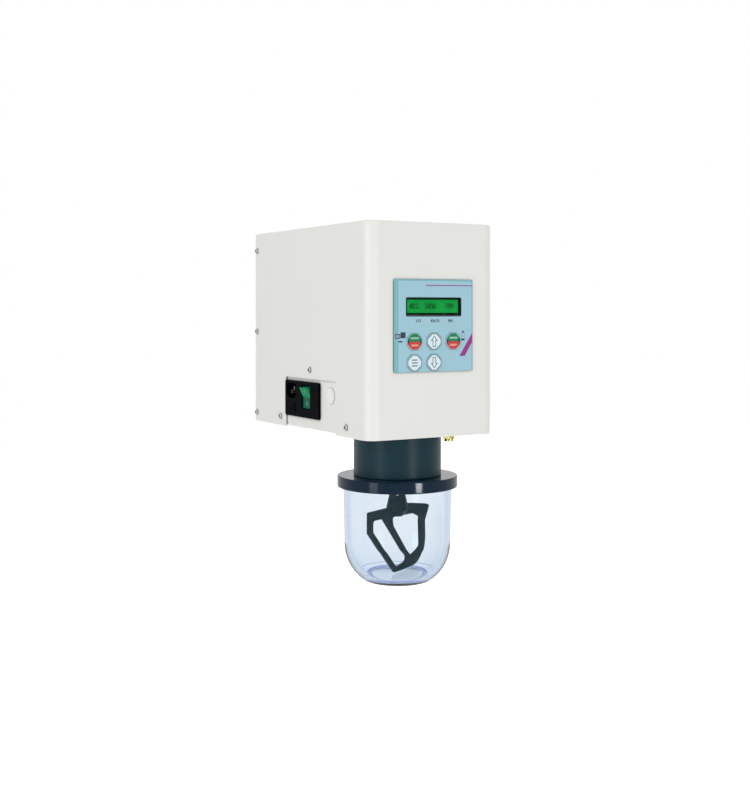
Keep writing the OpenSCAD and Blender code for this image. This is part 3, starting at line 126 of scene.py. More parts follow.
class Finish:
    """A procedural material: one Principled shader fed by noise in the part's own frame."""

    def __init__(self, name, colour, roughness, metallic=0.0, specular=0.5):
        self.material = bpy.data.materials.new(name)
        self.material.use_nodes = True
        self.nodes = self.material.node_tree.nodes
        self.links = self.material.node_tree.links
        self.shader = self.nodes["Principled BSDF"]
        self.set("Base Color", colour)
        self.set("Roughness", roughness)
        self.set("Metallic", metallic)
        self.set("Specular IOR Level", specular)
        self.place = self.nodes.new("ShaderNodeTexCoord").outputs["Object"]
        self.colour = colour
        self.height = None

    def set(self, socket, value):
        self.shader.inputs[socket].default_value = value

    def node(self, kind, *inputs, **settings):
        """New node of that kind, with its inputs linked or set in order."""
        made = self.nodes.new("ShaderNode" + kind)
        for key, value in settings.items():
            setattr(made, key, value)
        for socket, value in zip(made.inputs, inputs):
            if isinstance(value, bpy.types.NodeSocket):
                self.links.new(value, socket)
            elif value is not None:
                socket.default_value = value
        return made

    def math(self, operation, a, b=None):
        return self.node("Math", a, b, operation=operation).outputs[0]

    def mix(self, share, a, b):
        made = self.node("Mix", data_type="RGBA")
        for socket, value in ((made.inputs[0], share), (made.inputs[6], a), (made.inputs[7], b)):
            if isinstance(value, bpy.types.NodeSocket):
                self.links.new(value, socket)
            else:
                socket.default_value = value
        return made.outputs[2]

    def noise(self, grain, detail=2.0, stretch=(1, 1, 1), place=None):
        """Noise with grains of that size in millimetres, drawn out along an axis by stretch."""
        scale = [1 / (grain * MM * s) for s in stretch]
        moved = self.node("VectorMath", place or self.place, scale, operation="MULTIPLY").outputs[0]
        made = self.node("TexNoise")
        made.inputs["Scale"].default_value = 1.0
        made.inputs["Detail"].default_value = detail
        self.links.new(moved, made.inputs["Vector"])
        return made.outputs[0]

    def rings(self, grain, x, y, detail=2.0):
        """Noise that runs in rings round an upright axis at x, y, as turning marks do."""
        split = self.node("SeparateXYZ", self.place).outputs
        across = self.math("SUBTRACT", split[0], x)
        along = self.math("SUBTRACT", split[1], y)
        radius = self.math("SQRT", self.math("ADD", self.math("POWER", across, 2.0),
                                             self.math("POWER", along, 2.0)))
        place = self.node("CombineXYZ", radius, 0.0, split[2]).outputs[0]
        return self.noise(grain, detail, place=place)

    def mottle(self, amount, share):
        """Colour that wanders up and down by that amount."""
        low = [v * (1 - amount) for v in self.colour[:3]] + [1.0]
        high = [min(1.0, v * (1 + amount)) for v in self.colour[:3]] + [1.0]
        self.colour = self.mix(share, low, high)
        self.links.new(self.colour, self.shader.inputs["Base Color"])
        return self

    def paint(self, mask, colour):
        """Prints a colour where the mask is 1."""
        self.colour = self.mix(mask, self.colour, colour)
        self.links.new(self.colour, self.shader.inputs["Base Color"])
        return self

    def rough(self, low, high, share):
        spread = self.node("MapRange", share, 0.3, 0.7, low, high).outputs[0]
        self.links.new(spread, self.shader.inputs["Roughness"])
        return self

    def paint_crease_shade(self, reach, colour):
        """Painted shade, from ambient occlusion, in the seams and corners that are narrower than that
        reach.
        """
        open_air = self.node("AmbientOcclusion")
        open_air.samples = 6
        open_air.inputs["Distance"].default_value = reach * MM
        share = self.node("MapRange", open_air.outputs["AO"], 0.4, 0.9, 1.0, 0.0).outputs[0]
        return self.paint(share, colour)

    def bump(self, depth, share, strength=0.6):
        """Relief of that depth in millimetres."""
        made = self.node("Bump")
        made.inputs["Strength"].default_value = strength
        made.inputs["Distance"].default_value = depth * MM
        self.links.new(share, made.inputs["Height"])
        if self.height:
            self.links.new(self.height, made.inputs["Normal"])
        self.height = made.outputs[0]
        self.links.new(self.height, self.shader.inputs["Normal"])
        return self


class Print:
    """Masks for prints on the front panel, in millimetres from a centre, across and up."""

    def __init__(self, finish, centre):
        self.finish = finish
        split = finish.node("SeparateXYZ", finish.place).outputs
        self.x = self.shifted(split[0], centre[0])
        self.z = self.shifted(split[2], centre[2])

    def shifted(self, socket, middle):
        moved = self.finish.math("SUBTRACT", socket, middle)
        return self.finish.math("DIVIDE", moved, MM)

    def above(self, socket, limit):
        return self.finish.math("GREATER_THAN", socket, limit)

    def below(self, socket, limit):
        return self.finish.math("LESS_THAN", socket, limit)

    def both(self, *masks):
        out = masks[0]
        for mask in masks[1:]:
            out = self.finish.math("MULTIPLY", out, mask)
        return out

    def either(self, *masks):
        out = masks[0]
        for mask in masks[1:]:
            out = self.finish.math("MAXIMUM", out, mask)
        return out

    def box(self, x0, x1, z0, z1):
        return self.both(self.above(self.x, x0), self.below(self.x, x1),
                         self.above(self.z, z0), self.below(self.z, z1))

    def convex(self, points):
        """Inside of a convex outline whose points run anticlockwise."""
        f = self.finish
        masks = []
        for (x0, z0), (x1, z1) in zip(points, points[1:] + points[:1]):
            side = f.math("SUBTRACT", f.math("MULTIPLY", self.z, x1 - x0),
                          f.math("MULTIPLY", self.x, z1 - z0))
            masks.append(self.above(side, z0 * (x1 - x0) - x0 * (z1 - z0)))
        return self.both(*masks)

    def octagon(self, half_w, half_h, corner):
        """Inside of an octagon given by its half width, half height and the cut of its corners."""
        f = self.finish
        across = f.math("ABSOLUTE", self.x)
        up = f.math("ABSOLUTE", self.z)
        slant = f.math("ADD", across, up)
        return self.both(self.below(across, half_w), self.below(up, half_h),
                         self.below(slant, half_w + half_h - corner))


def centre_of(node):
    low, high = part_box(node)
    return (low + high) / 2


def size_of(node):
    low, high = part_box(node)
    return (high - low) / MM


def enamel(name="enamel"):
    f = Finish(name, ENAMEL, 0.36, specular=0.45)
    f.mottle(0.012, f.noise(70, 3))
    f.rough(0.34, 0.44, f.noise(9, 4))
    # Painted shade in the enamel's seams, such as round the flap, and in its narrow corners
    f.paint_crease_shade(3.0, srgb(112, 116, 114))
    f.bump(0.03, f.noise(1.6, 3), 0.35)
    return f.bump(0.012, f.noise(0.35, 2), 0.3)


def chassis_enamel():
    return enamel("chassis_enamel")


def slate_anodised(name="slate_anodised", colour=COLLAR, low=0.3, high=0.42, specular=0.14):
    """Turned and dark anodised: wandering colour under fine turning marks."""
    axis = centre_of("lid")
    f = Finish(name, colour, low, specular=specular)
    f.mottle(0.16, f.noise(14, 4))
    marks = f.rings(0.35, axis.x, axis.y, 3)
    f.rough(low, high, marks)
    f.bump(0.005, marks, 0.4)
    return f.bump(0.008, f.noise(0.3, 2), 0.2)


def lid_slate():
    return slate_anodised("lid_slate", LID, 0.1, 0.15, 0.17)


def paddle_moulding():
    f = Finish("paddle_moulding", PADDLE, 0.36, specular=0.1)
    f.mottle(0.12, f.noise(9, 4))
    f.rough(0.3, 0.46, f.noise(3, 4))
    return f.bump(0.02, f.noise(0.5, 3), 0.4)


def bowl_painted_shade(f):
    """Painted violet-blue shade along the wall's edges, and painted rings of shade on the foot and in the
    corner of the floor.
    """
    turned_away = f.node("LayerWeight", 0.5).outputs["Facing"]
    # Painted shade along the edges where the wall turns away
    f.paint(f.node("MapRange", turned_away, 0.5, 0.95, 0.0, 1.0).outputs[0], BOWL_EDGE_SHADE)
    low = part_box("bowl")[0].z
    height = f.math("DIVIDE", f.math("SUBTRACT", f.node("SeparateXYZ", f.place).outputs[2], low), MM)
    foot = f.math("LESS_THAN", height, 0.6)
    over_corner = f.math("ABSOLUTE", f.math("SUBTRACT", height, BOWL_FLOOR + 0.5))
    # Painted rings of shade on the foot and in the corner of the floor
    f.paint(f.math("MAXIMUM", foot, f.math("LESS_THAN", over_corner, 0.3)), BOWL_RING_SHADE)


def clear_bowl():
    """Clear acrylic with an absorbing body, so that thick places look deeper in colour."""
    f = Finish("clear_bowl", BOWL_CLEAR, 0.02, specular=0.5)
    f.set("Transmission Weight", 1.0)
    f.set("IOR", BOWL_IOR)
    f.set("Specular Tint", (0.45, 0.7, 0.8, 1))
    axis = centre_of("bowl")
    f.mottle(0.01, f.noise(30, 3))
    # Painted shade on the edges, foot and floor corner
    bowl_painted_shade(f)
    depth = f.nodes.new("ShaderNodeVolumeAbsorption")
    depth.inputs["Color"].default_value = BOWL_TINT
    depth.inputs["Density"].default_value = BOWL_DENSITY
    f.links.new(depth.outputs[0], f.nodes["Material Output"].inputs["Volume"])
    return f.rough(0.0, 0.04, f.rings(0.8, axis.x, axis.y, 3))


def steel():
    f = Finish("steel", (0.62, 0.63, 0.64, 1), 0.3, metallic=1.0)
    f.mottle(0.1, f.noise(2.2, 4))
    f.rough(0.22, 0.42, f.noise(1.2, 3))
    return f.bump(0.008, f.noise(0.25, 2), 0.4)


def screw_steel():
    """Zinc-plated screw heads, with painted shade in the cross recess and round the rim."""
    f = Finish("screw_steel", (0.42, 0.47, 0.50, 1), 0.35, metallic=0.75)
    f.mottle(0.12, f.noise(1.6, 3))
    # Painted shade in the cross recess and round the rim of each head
    f.paint_crease_shade(2.4, srgb(22, 34, 40))
    f.rough(0.3, 0.46, f.noise(0.8, 3))
    return f.bump(0.008, f.noise(0.25, 2), 0.4)


def pins_painted_shade():
    """Nickel-plated contact blades deep in their socket, dull, with their colour darkened as painted shade.
    """
    # The dark base colour is painted shade of the socket round the blades
    f = Finish("pins_painted_shade", (0.16, 0.15, 0.15, 1), 0.4, metallic=0.8)
    f.mottle(0.12, f.noise(1.6, 3))
    f.rough(0.34, 0.5, f.noise(0.8, 3))
    return f.bump(0.008, f.noise(0.25, 2), 0.4)


def brass():
    f = Finish("brass", (0.46, 0.39, 0.13, 1), 0.26, metallic=1.0)
    f.mottle(0.08, f.noise(3, 4))
    # Painted shade in the fitting's hollows and narrow corners
    f.paint_crease_shade(1.5, srgb(52, 48, 20))
    lines = f.noise(0.3, 3, stretch=(20, 20, 1))
    f.rough(0.2, 0.34, lines)
    return f.bump(0.01, lines, 0.4)


def black_plastic():
    f = Finish("black_plastic", BLACK, 0.45, specular=0.012)
    f.mottle(0.1, f.noise(6, 3))
    f.rough(0.4, 0.55, f.noise(1.5, 3))
    return f.bump(0.02, f.noise(0.35, 2), 0.45)


def rocker_green():
    """Green lens of the rocker, lit from behind, with painted shade on its lower half and a faint bar and
    ring on its two halves.
    """
    f = Finish("rocker_green", srgb(10, 118, 70), 0.36, specular=0.03)
    f.mottle(0.3, f.noise(5, 3))
    middle = centre_of("power_rocker")
    split = f.node("SeparateXYZ", f.place).outputs
    along = f.math("DIVIDE", f.math("SUBTRACT", split[1], middle.y), MM)
    up = f.math("DIVIDE", f.math("SUBTRACT", split[2], middle.z), MM)
    # Painted shade: the lower half of the rocker is darker
    f.paint(f.math("LESS_THAN", up, 0.0), srgb(20, 66, 56))
    bar = f.math("MULTIPLY", f.math("LESS_THAN", f.math("ABSOLUTE", along), 0.6),
                 f.math("LESS_THAN", f.math("ABSOLUTE", f.math("SUBTRACT", up, 6.5)), 2.0))
    ring_up = f.math("ADD", up, 6.5)
    radius = f.math("SQRT", f.math("ADD", f.math("POWER", along, 2.0),
                                   f.math("POWER", ring_up, 2.0)))
    ring = f.math("LESS_THAN", f.math("ABSOLUTE", f.math("SUBTRACT", radius, 1.8)), 0.4)
    f.paint(f.math("MAXIMUM", bar, ring), srgb(92, 164, 136))
    f.set("Emission Color", (0.0, 0.16, 0.08, 1))
    f.set("Emission Strength", 0.35)
    f.rough(0.16, 0.28, f.noise(2, 3))
    return f.bump(0.02, f.noise(1.5, 2), 0.3)


def white_plastic():
    f = Finish("white_plastic", srgb(238, 238, 235), 0.32)
    f.mottle(0.015, f.noise(8, 3))
    f.rough(0.28, 0.4, f.noise(2, 3))
    return f.bump(0.015, f.noise(0.6, 2), 0.3)


def panel_blue():
    """Printed front foil: an upright band on its left, a thin line and a slanting band."""
    f = Finish("panel_blue", PANEL, 0.34, specular=0.4)
    f.mottle(0.04, f.noise(40, 3))
    centre = centre_of("panel_overlay")
    half_w = size_of("panel_overlay").x / 2
    half_h = size_of("panel_overlay").z / 2
    p = Print(f, centre)
    f.paint(p.box(-half_w - 1, -half_w + 5, -half_h - 1, half_h + 1), PANEL_EDGE)
    f.paint(p.box(-half_w - 1, half_w + 1, half_h - 1.6, half_h + 1), PANEL_EDGE)
    f.paint(p.box(half_w - 0.7, half_w + 1, -half_h - 1, half_h + 1), srgb(96, 140, 150))
    f.paint(p.box(-10, half_w + 1, half_h - 6.6, half_h - 5.4), srgb(144, 84, 158))
    f.paint(p.convex([(31.7, -32.4), (38.7, -32.4), (half_w + 1, -15.4), (half_w + 1, -5.9)]), MAGENTA)
    # Plain marks beside the two start keys: blocks on the left, a wedge over bars on the right
    f.paint(p.either(p.box(-47.2, -41.2, -13.3, -8.4), p.box(-40.9, -34.8, -12.8, -6.6)), INK)
    f.paint(p.box(-46.4, -42.0, -12.4, -9.4), srgb(136, 158, 184))
    f.paint(p.box(-43.4, -38.6, -17.1, -15.5), INK)
    f.paint(p.convex([(34.4, -7.8), (38.2, -7.8), (36.3, -4.9)]), INK)
    f.paint(p.box(34.3, 38.3, -13.2, -8.4), srgb(124, 160, 180))
    f.paint(p.box(35.1, 37.5, -13.2, -8.4), PANEL)
    f.paint(p.box(34.0, 38.6, -15.9, -14.0), INK)
    f.rough(0.3, 0.42, f.noise(1.5, 3))
    return f.bump(0.012, f.noise(0.4, 2), 0.4)


def foil_dark():
    f = Finish("foil_dark", srgb(52, 66, 70), 0.5)
    f.mottle(0.08, f.noise(5, 3))
    return f.bump(0.01, f.noise(0.5, 2), 0.3)


def key_base(name, colour, node, line):
    """Finish of one key and its print masks: a line round the octagon, and foil blue outside it."""
    f = Finish(name, colour, 0.34, specular=0.3)
    f.mottle(0.03, f.noise(6, 3))
    p = Print(f, centre_of(node))
    size = size_of(node)
    for inset, ink in ((1.3, line), (0.6, PANEL)):
        inside = p.octagon(size.x / 2 - inset, size.z / 2 - inset, 0.293 * size.x)
        f.paint(f.math("SUBTRACT", 1.0, inside), ink)
    f.rough(0.3, 0.42, f.noise(1.2, 3))
    f.bump(0.01, f.noise(0.4, 2), 0.4)
    return f, p


def arrow(p, up, inset):
    """Mask of an arrow, a head over a shaft, drawn in from its outline by that many millimetres."""
    tip, neck, tail = 6.2 - 1.5 * inset, 0.5 + inset, -5.7 + inset
    half_head, half_shaft = 4.3 - 2.2 * inset, 2.1 - inset
    if up:
        head = p.convex([(-half_head, neck), (half_head, neck), (0, tip)])
        return p.either(head, p.box(-half_shaft, half_shaft, tail, neck + 0.1))
    head = p.convex([(half_head, -neck), (-half_head, -neck), (0, -tip)])
    return p.either(head, p.box(-half_shaft, half_shaft, -neck - 0.1, -tail))


def key_white(node, sign):
    """White key with a hollow arrow up or down, or with three plain bars."""
    f, p = key_base("key_white_" + node, KEY_WHITE, node, KEY_LINE)
    if sign == "bars":
        bars = [p.box(-3.4, 3.4, z - 0.6, z + 0.6) for z in (-3, 0, 3)]
        return f.paint(p.either(*bars), KEY_LINE)
    f.paint(arrow(p, sign == "up", 0.0), KEY_LINE)
    return f.paint(arrow(p, sign == "up", 0.8), KEY_WHITE)


def key_two_tone(node):
    """Start and stop key: green over red, dark wedges at its sides, and a plain bar on each half."""
    f, p = key_base("key_two_tone_" + node, KEY_SIDE, node, KEY_SIDE)
    size = size_of(node)
    inside = p.octagon(size.x / 2 - 0.6, size.z / 2 - 0.6, 0.293 * size.x)
    slant = f.math("SUBTRACT", f.math("ABSOLUTE", p.x), f.math("MULTIPLY", f.math("ABSOLUTE", p.z), 0.8))
    body = p.both(inside, p.below(slant, size.x / 2 - 3.0))
    f.paint(p.both(body, p.above(p.z, 0.1)), KEY_GREEN)
    f.paint(p.both(body, p.below(p.z, -0.1)), KEY_RED)
    f.paint(p.box(-5.0, 5.0, 2.6, 4.6), GREEN_BAR)
    return f.paint(p.box(-4.2, 4.2, -4.8, -2.8), RED_BAR)


def clear_pane():
    f = Finish("clear_pane", srgb(246, 250, 249), 0.04)
    f.set("Transmission Weight", 1.0)
    f.set("IOR", 1.1)
    f.mottle(0.01, f.noise(8, 2))
    return f.rough(0.02, 0.06, f.noise(3, 3))


def display_green():
    """Back-lit liquid crystal, brighter in its middle, with a dark frame printed round it."""
    f = Finish("display_green", LCD_GREEN, 0.4, specular=0.03)
    f.mottle(0.14, f.noise(22, 3))
    p = Print(f, centre_of("display_glass"))
    frame_mask = f.math("SUBTRACT", 1.0, p.box(-32, 31.6, -7.6, 6.2))
    f.paint(frame_mask, srgb(6, 24, 18))
    f.links.new(f.colour, f.shader.inputs["Emission Color"])
    f.set("Emission Strength", 0.3)
    f.rough(0.34, 0.46, f.noise(2, 2))
    return f.bump(0.01, f.noise(0.5, 2), 0.3)


def lcd_ink():
    f = Finish("lcd_ink", LCD_DARK, 0.5, specular=0.1)
    f.mottle(0.1, f.noise(2, 2))
    return f.rough(0.35, 0.45, f.noise(1, 2))


def panel_ink():
    f = Finish("panel_ink", srgb(14, 24, 34), 0.4, specular=0.1)
    f.mottle(0.06, f.noise(2, 2))
    return f.rough(0.35, 0.45, f.noise(1, 2))


def circuit_board():
    f = Finish("circuit_board", srgb(38, 96, 52), 0.35)
    f.mottle(0.2, f.noise(3, 2, stretch=(1, 1, 8)))
    f.paint(f.math("GREATER_THAN", f.noise(2.5, 1, stretch=(6, 1, 1)), 0.62), srgb(74, 140, 78))
    return f.bump(0.04, f.noise(1.2, 2), 0.4)


def plain(name, colour, low, high, grain, depth, metallic=0.0):
    """Finish of an inner piece: wandering colour and roughness over a fine relief."""
    f = Finish(name, colour, (low + high) / 2, metallic)
    f.mottle(0.08, f.noise(grain * 8, 3))
    f.rough(low, high, f.noise(grain * 3, 3))
    return f.bump(depth, f.noise(grain, 2), 0.5)


def rubber():
    return plain("rubber", srgb(36, 36, 37), 0.6, 0.8, 0.4, 0.03)


def pale_rubber():
    return plain("pale_rubber", srgb(206, 206, 202), 0.45, 0.6, 0.5, 0.02)


def hose_clear():
    f = plain("hose_clear", srgb(204, 210, 214), 0.25, 0.4, 0.8, 0.02)
    f.set("Transmission Weight", 0.4)
    return f


def felt():
    return plain("felt", srgb(222, 219, 208), 0.8, 0.95, 0.25, 0.12)


def motor_grey():
    return plain("motor_grey", srgb(96, 98, 102), 0.35, 0.5, 0.7, 0.03)


def pump_dark():
    return plain("pump_dark", srgb(122, 128, 136), 0.4, 0.6, 0.9, 0.05, metallic=0.8)


def core_steel():
    f = plain("core_steel", srgb(98, 92, 90), 0.4, 0.6, 0.6, 0.02, metallic=0.6)
    return f.bump(0.06, f.noise(0.5, 1, stretch=(40, 1, 40)), 0.6)


def acetal():
    return plain("acetal", srgb(224, 216, 194), 0.3, 0.45, 0.6, 0.015)


OWN_FINISHES = {
    "lid": lid_slate,
    "hood_screws": screw_steel,
    "inlet_pins": pins_painted_shade,
    "key_up": lambda: key_white("key_up", "up"),
    "key_down": lambda: key_white("key_down", "down"),
    "key_function": lambda: key_white("key_function", "bars"),
    "key_start_left": lambda: key_two_tone("key_start_left"),
    "key_start_right": lambda: key_two_tone("key_start_right"),
}
FINISHES = [enamel, chassis_enamel, slate_anodised, paddle_moulding, clear_bowl, steel, brass,
            black_plastic, rocker_green, white_plastic, panel_blue, foil_dark, clear_pane,
            display_green, circuit_board, rubber, pale_rubber, hose_clear, felt, motor_grey,
            pump_dark, core_steel, acetal]


def dress_nodes():
    """Gives every CAD node the finish of its material slot, or its own."""
    by_slot = {make.__name__: make().material for make in FINISHES}
    for row in frame["record"]["subparts"]:
        name = row["node"]
        if name in OWN_FINISHES:
            material = OWN_FINISHES[name]().material
        else:
            material = by_slot[row["material_slot"]]
        mesh = frame["nodes"][name].data
        mesh.materials.clear()
        mesh.materials.append(material)


# Rows of a digit, five dots wide and seven high, as the bits of a number
DIGITS = {
    "0": (14, 17, 19, 21, 25, 17, 14), "1": (4, 12, 4, 4, 4, 4, 14), "2": (14, 17, 1, 2, 4, 8, 31),
    "3": (31, 2, 4, 2, 1, 17, 14), "4": (2, 6, 10, 18, 31, 2, 2), "5": (31, 16, 30, 1, 1, 17, 14),
    "6": (6, 8, 16, 30, 17, 17, 14), "7": (31, 1, 2, 4, 8, 8, 8), "8": (14, 17, 17, 14, 17, 17, 14),
    "9": (14, 17, 17, 15, 1, 2, 12), " ": (0,) * 7,
}


def box_faces(start):
    """Six faces of a box whose eight corners start at that index, outward."""
    sides = [(0, 1, 3, 2), (4, 6, 7, 5), (0, 4, 5, 1), (2, 3, 7, 6), (0, 2, 6, 4), (1, 5, 7, 3)]
    return [tuple(start + i for i in side) for side in sides]


# Dots of the digits in millimetres: pitch of the digits, pitch of the dots across and up, their
# height above the face, and half their width as a share of their pitch across
DISPLAY_DOTS = (3.6, 0.6, 0.82, 0.1, 0.8)
PANEL_DOTS = (2.2, 0.34, 0.42, 0.03, 0.9)


def dot_text(name, text, centre, dots, material):
    """Digits built from small raised dots on a face that looks forwards, centred on a point."""
    pitch, dot_w, dot_h, thick = (size * MM for size in dots[:4])
    bold = dots[4]
    points, faces = [], []
    left = centre[0] - pitch * len(text) / 2
    for place, sign in enumerate(text):
        for row, bits in enumerate(DIGITS[sign]):
            for column in range(5):
                if not bits >> (4 - column) & 1:
                    continue
                x = left + place * pitch + (pitch - 5 * dot_w) / 2 + (column + 0.5) * dot_w
                z = centre[2] + (3 - row) * dot_h
                faces += box_faces(len(points))
                points += [(x + bold * i * dot_w, centre[1] - j * thick, z + 0.5 * k * dot_h)
                           for i in (-1, 1) for j in (0, 1) for k in (-1, 1)]
    mesh = bpy.data.meshes.new(name)
    mesh.from_pydata(points, [], faces)
    mesh.materials.append(material)
    piece = bpy.data.objects.new(name, mesh)
    bpy.context.scene.collection.objects.link(piece)
    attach(piece, "housing")
    return piece


def display_digits():
    """One row of plain numbers on the display's glass."""
    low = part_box("display_glass")[0]
    middle = centre_of("display_glass")
    centre = (middle.x + 0.6 * MM, low.y, middle.z - 0.4 * MM)
    dot_text("display_digits", "012  3456   789 ", centre, DISPLAY_DOTS, lcd_ink().material)


def panel_numbers():
    """Small plain numbers on the foil, below the display."""
    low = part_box("panel_overlay")[0]
    middle = centre_of("panel_overlay")
    ink = panel_ink().material
    for name, text, x in (("left", "123", -19.5), ("middle", "45678", 1.0), ("right", "901", 20.6)):
        centre = (middle.x + x * MM, low.y, middle.z + 5 * MM)
        dot_text("panel_numbers_" + name, text, centre, PANEL_DOTS, ink)


def arc(x, z, radius, start, end, steps):
    """Points of an arc round x, z, its angles in degrees."""
    angles = [math.radians(start + (end - start) * i / steps) for i in range(steps + 1)]
    return [(x + radius * math.cos(a), z + radius * math.sin(a)) for a in angles]


def bowl_profile(radius, height):
    """The solid's outline from its axis out, up, over the rim and back in, in millimetres."""
    inner_round = BOWL_ROUND - 2
    corner = radius - BOWL_DRAFT - BOWL_ROUND
    foot = corner + math.sqrt(BOWL_ROUND ** 2 - BOWL_CORNER ** 2)
    low_angle = -math.degrees(math.asin((BOWL_CORNER - 0.5) / BOWL_ROUND))
    inner = radius - BOWL_DRAFT - BOWL_WALL - inner_round
    inner_z = BOWL_CORNER + 3.5
    inner_angle = -math.degrees(math.asin((inner_z - BOWL_FLOOR - 1.2) / inner_round))
    inner_foot = inner + math.sqrt(inner_round ** 2 - (inner_z - BOWL_FLOOR) ** 2)
    return ([(0, 0.8), (foot - 7, 0.8), (foot - 6, 0), (foot - 0.6, 0)]
            + arc(corner, BOWL_CORNER, BOWL_ROUND, low_angle, 0, 40)
            + [(radius, height - BOWL_RIM - 1), (radius, height - BOWL_RIM)]
            + arc(radius - BOWL_RIM, height - BOWL_RIM, BOWL_RIM, 0, 90, 6)[1:]
            + arc(radius - BOWL_WALL + BOWL_RIM, height - BOWL_RIM, BOWL_RIM, 90, 180, 6)
            + [(radius - BOWL_WALL, height - BOWL_RIM - 1)]
            + arc(inner, inner_z, inner_round, 0, inner_angle, 40)
            + [(inner_foot - 1.5, BOWL_FLOOR + 0.4), (inner_foot - 3.5, BOWL_FLOOR), (0, BOWL_FLOOR)])


def turned(name, axis, profile, sides):
    """Closed solid turned round an upright axis, from a profile that starts and ends on it."""
    rings = profile[1:-1]
    points = [(axis.x, axis.y, axis.z + profile[0][1] * MM), (axis.x, axis.y, axis.z + profile[-1][1] * MM)]
    for radius, height in rings:
        for side in range(sides):
            a = 2 * math.pi * side / sides
            points.append((axis.x + radius * MM * math.cos(a), axis.y + radius * MM * math.sin(a),
                           axis.z + height * MM))
    faces = []
    last = 2 + (len(rings) - 1) * sides
    for side in range(sides):
        after = (side + 1) % sides
        faces.append((0, 2 + after, 2 + side))
        faces.append((1, last + side, last + after))
        for ring in range(len(rings) - 1):
            low, high = 2 + ring * sides, 2 + (ring + 1) * sides
            faces.append((low + side, low + after, high + after, high + side))
    mesh = bpy.data.meshes.new(name)
    mesh.from_pydata(points, [], faces)
    mesh.shade_smooth()
    mesh.set_sharp_from_angle(angle=math.radians(25))
    piece = bpy.data.objects.new(name, mesh)
    bpy.context.scene.collection.objects.link(piece)
    return piece


def clear_bowl_turned():
    """The bowl in fine steps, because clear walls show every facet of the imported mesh."""
    low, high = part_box("bowl")
    foot = Vector(((low.x + high.x) / 2, (low.y + high.y) / 2, low.z))
    profile = bowl_profile((high.x - low.x) / 2 / MM, (high.z - low.z) / MM)
    piece = turned("bowl_clear", foot, profile, 192)
    piece.data.materials.append(clear_bowl().material)
    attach(piece, "bowl")
    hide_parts("bowl")


# Nodes whose edges show, with the width of their softened edges in millimetres
SOFT_EDGES = {
    "hood": 0.35, "bottom_plate": 0.3, "power_module": 0.4, "fuse_drawer": 0.25,
    "power_rocker": 0.5, "collar": 0.3, "lid": 0.4, "mixing_paddle": 0.6, "hose_fitting": 0.3,
    "key_start_left": 0.25, "key_up": 0.25, "key_start_right": 0.25, "key_function": 0.25,
    "key_down": 0.25,
}


def soften_edges():
    """Rounds the sharp edges slightly, on flat faces that are made whole first."""
    for name, width in SOFT_EDGES.items():
        node = frame["nodes"][name]
        weld = node.modifiers.new("weld", "WELD")
        weld.merge_threshold = 0.002 * MM
        flat = node.modifiers.new("flat", "DECIMATE")
        flat.decimate_type = "DISSOLVE"
        flat.angle_limit = math.radians(0.3)
        bevel = node.modifiers.new("edges", "BEVEL")
        bevel.width = width * MM
        bevel.segments = 2
        bevel.limit_method = "ANGLE"
        bevel.angle_limit = math.radians(40)
        bevel.use_clamp_overlap = True
        even = node.modifiers.new("even", "WEIGHTED_NORMAL")
        even.keep_sharp = True


def soft_lamp(name, place, width, height, power):
    data = bpy.data.lights.new(name, "AREA")
    data.shape = "RECTANGLE"
    data.size = width
    data.size_y = height
    data.energy = power
    lamp = bpy.data.objects.new(name, data)
    lamp.location = place
    lamp.rotation_euler = (AIM - Vector(place)).to_track_quat("-Z", "Y").to_euler()
    bpy.context.scene.collection.objects.link(lamp)


def any_of(nodes, links, total, *others):
    """1 for a ray of any of those kinds."""
    for other in others:
        step = nodes.new("ShaderNodeMath")
        step.operation = "MAXIMUM"
        links.new(total, step.inputs[0])
        links.new(other, step.inputs[1])
        total = step.outputs[0]
    return total


def rays(nodes, *kinds):
    """Light Path's outputs for those kinds of ray."""
    path = nodes.new("ShaderNodeLightPath").outputs
    return [path["Is " + kind + " Ray"] for kind in kinds]


def make_world():
    """Even white light, a little dimmer on the part than where it is seen or mirrored."""
    world = bpy.data.worlds.new("studio")
    world.use_nodes = True
    nodes, links = world.node_tree.nodes, world.node_tree.links
    lit = nodes["Background"]
    lit.inputs["Color"].default_value = (1, 1, 1, 1)
    lit.inputs["Strength"].default_value = WORLD_LEVEL
    shown = nodes.new("ShaderNodeBackground")
    shown.inputs["Color"].default_value = (1, 1, 1, 1)
    shown.inputs["Strength"].default_value = 1.0
    mix = nodes.new("ShaderNodeMixShader")
    seen = any_of(nodes, links, *rays(nodes, "Camera", "Glossy", "Transmission"))
    links.new(seen, mix.inputs[0])
    links.new(lit.outputs[0], mix.inputs[1])
    links.new(shown.outputs[0], mix.inputs[2])
    links.new(mix.outputs[0], nodes["World Output"].inputs["Surface"])
    bpy.context.scene.world = world


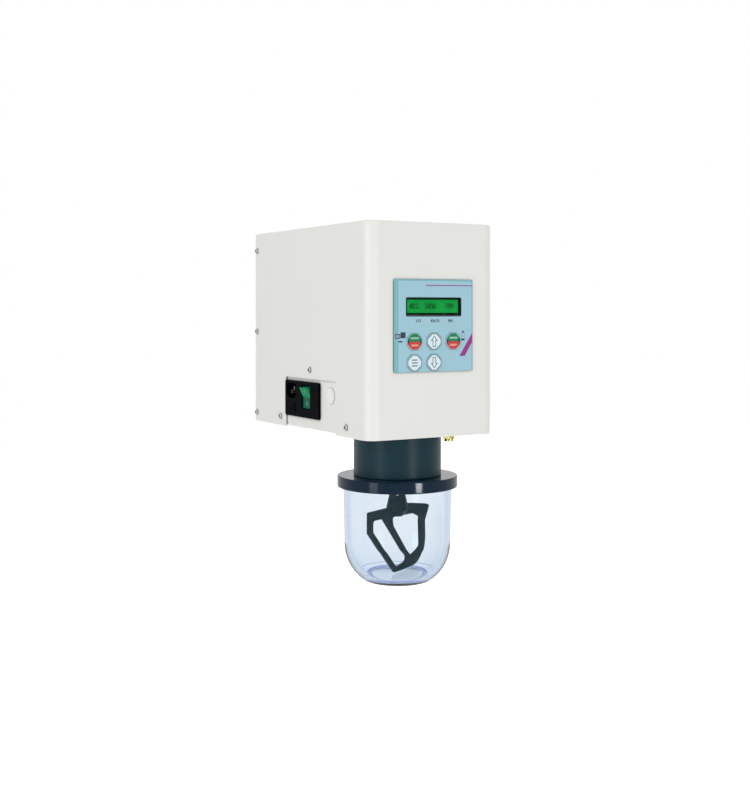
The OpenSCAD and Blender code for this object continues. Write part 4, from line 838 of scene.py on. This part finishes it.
def make_floor():
    """Plain pale floor below the part; what is seen of it is lifted to white, its shadow stays."""
    half, level = 4.0, cad_low.z - 0.3
    mesh = bpy.data.meshes.new("floor")
    mesh.from_pydata([(-half, -half, level), (half, -half, level), (half, half, level),
                      (-half, half, level)], [], [(0, 1, 2, 3)])
    material = bpy.data.materials.new("floor")
    material.use_nodes = True
    nodes, links = material.node_tree.nodes, material.node_tree.links
    shader = nodes["Principled BSDF"]
    shader.inputs["Base Color"].default_value = (0.8, 0.8, 0.8, 1)
    shader.inputs["Roughness"].default_value = 0.9
    shader.inputs["Specular IOR Level"].default_value = 0.0
    glow = nodes.new("ShaderNodeEmission")
    glow.inputs["Color"].default_value = (1, 1, 1, 1)
    seen = any_of(nodes, links, *rays(nodes, "Camera", "Glossy", "Transmission"))
    links.new(seen, glow.inputs["Strength"])
    both = nodes.new("ShaderNodeAddShader")
    links.new(shader.outputs[0], both.inputs[0])
    links.new(glow.outputs[0], both.inputs[1])
    mirrored = nodes.new("ShaderNodeMixShader")
    links.new(any_of(nodes, links, *rays(nodes, "Glossy", "Transmission")), mirrored.inputs[0])
    links.new(both.outputs[0], mirrored.inputs[1])
    links.new(glow.outputs[0], mirrored.inputs[2])
    links.new(mirrored.outputs[0], nodes["Material Output"].inputs["Surface"])
    mesh.materials.append(material)
    floor = bpy.data.objects.new("floor", mesh)
    bpy.context.scene.collection.objects.link(floor)


def make_camera():
    data = bpy.data.cameras.new("camera")
    data.lens = CAMERA_LENS
    data.shift_y = CAMERA_SHIFT
    camera = bpy.data.objects.new("camera", data)
    camera.location = CAMERA_AT
    camera.rotation_euler = (math.radians(90), 0, CAMERA_TURN)
    bpy.context.scene.collection.objects.link(camera)
    bpy.context.scene.camera = camera


def make_studio():
    make_camera()
    make_world()
    make_floor()
    for lamp in LAMPS:
        soft_lamp(*lamp)
    bpy.context.scene.view_settings.view_transform = "Standard"


make_studio()
dress_nodes()
display_digits()
panel_numbers()
clear_bowl_turned()
soften_edges()
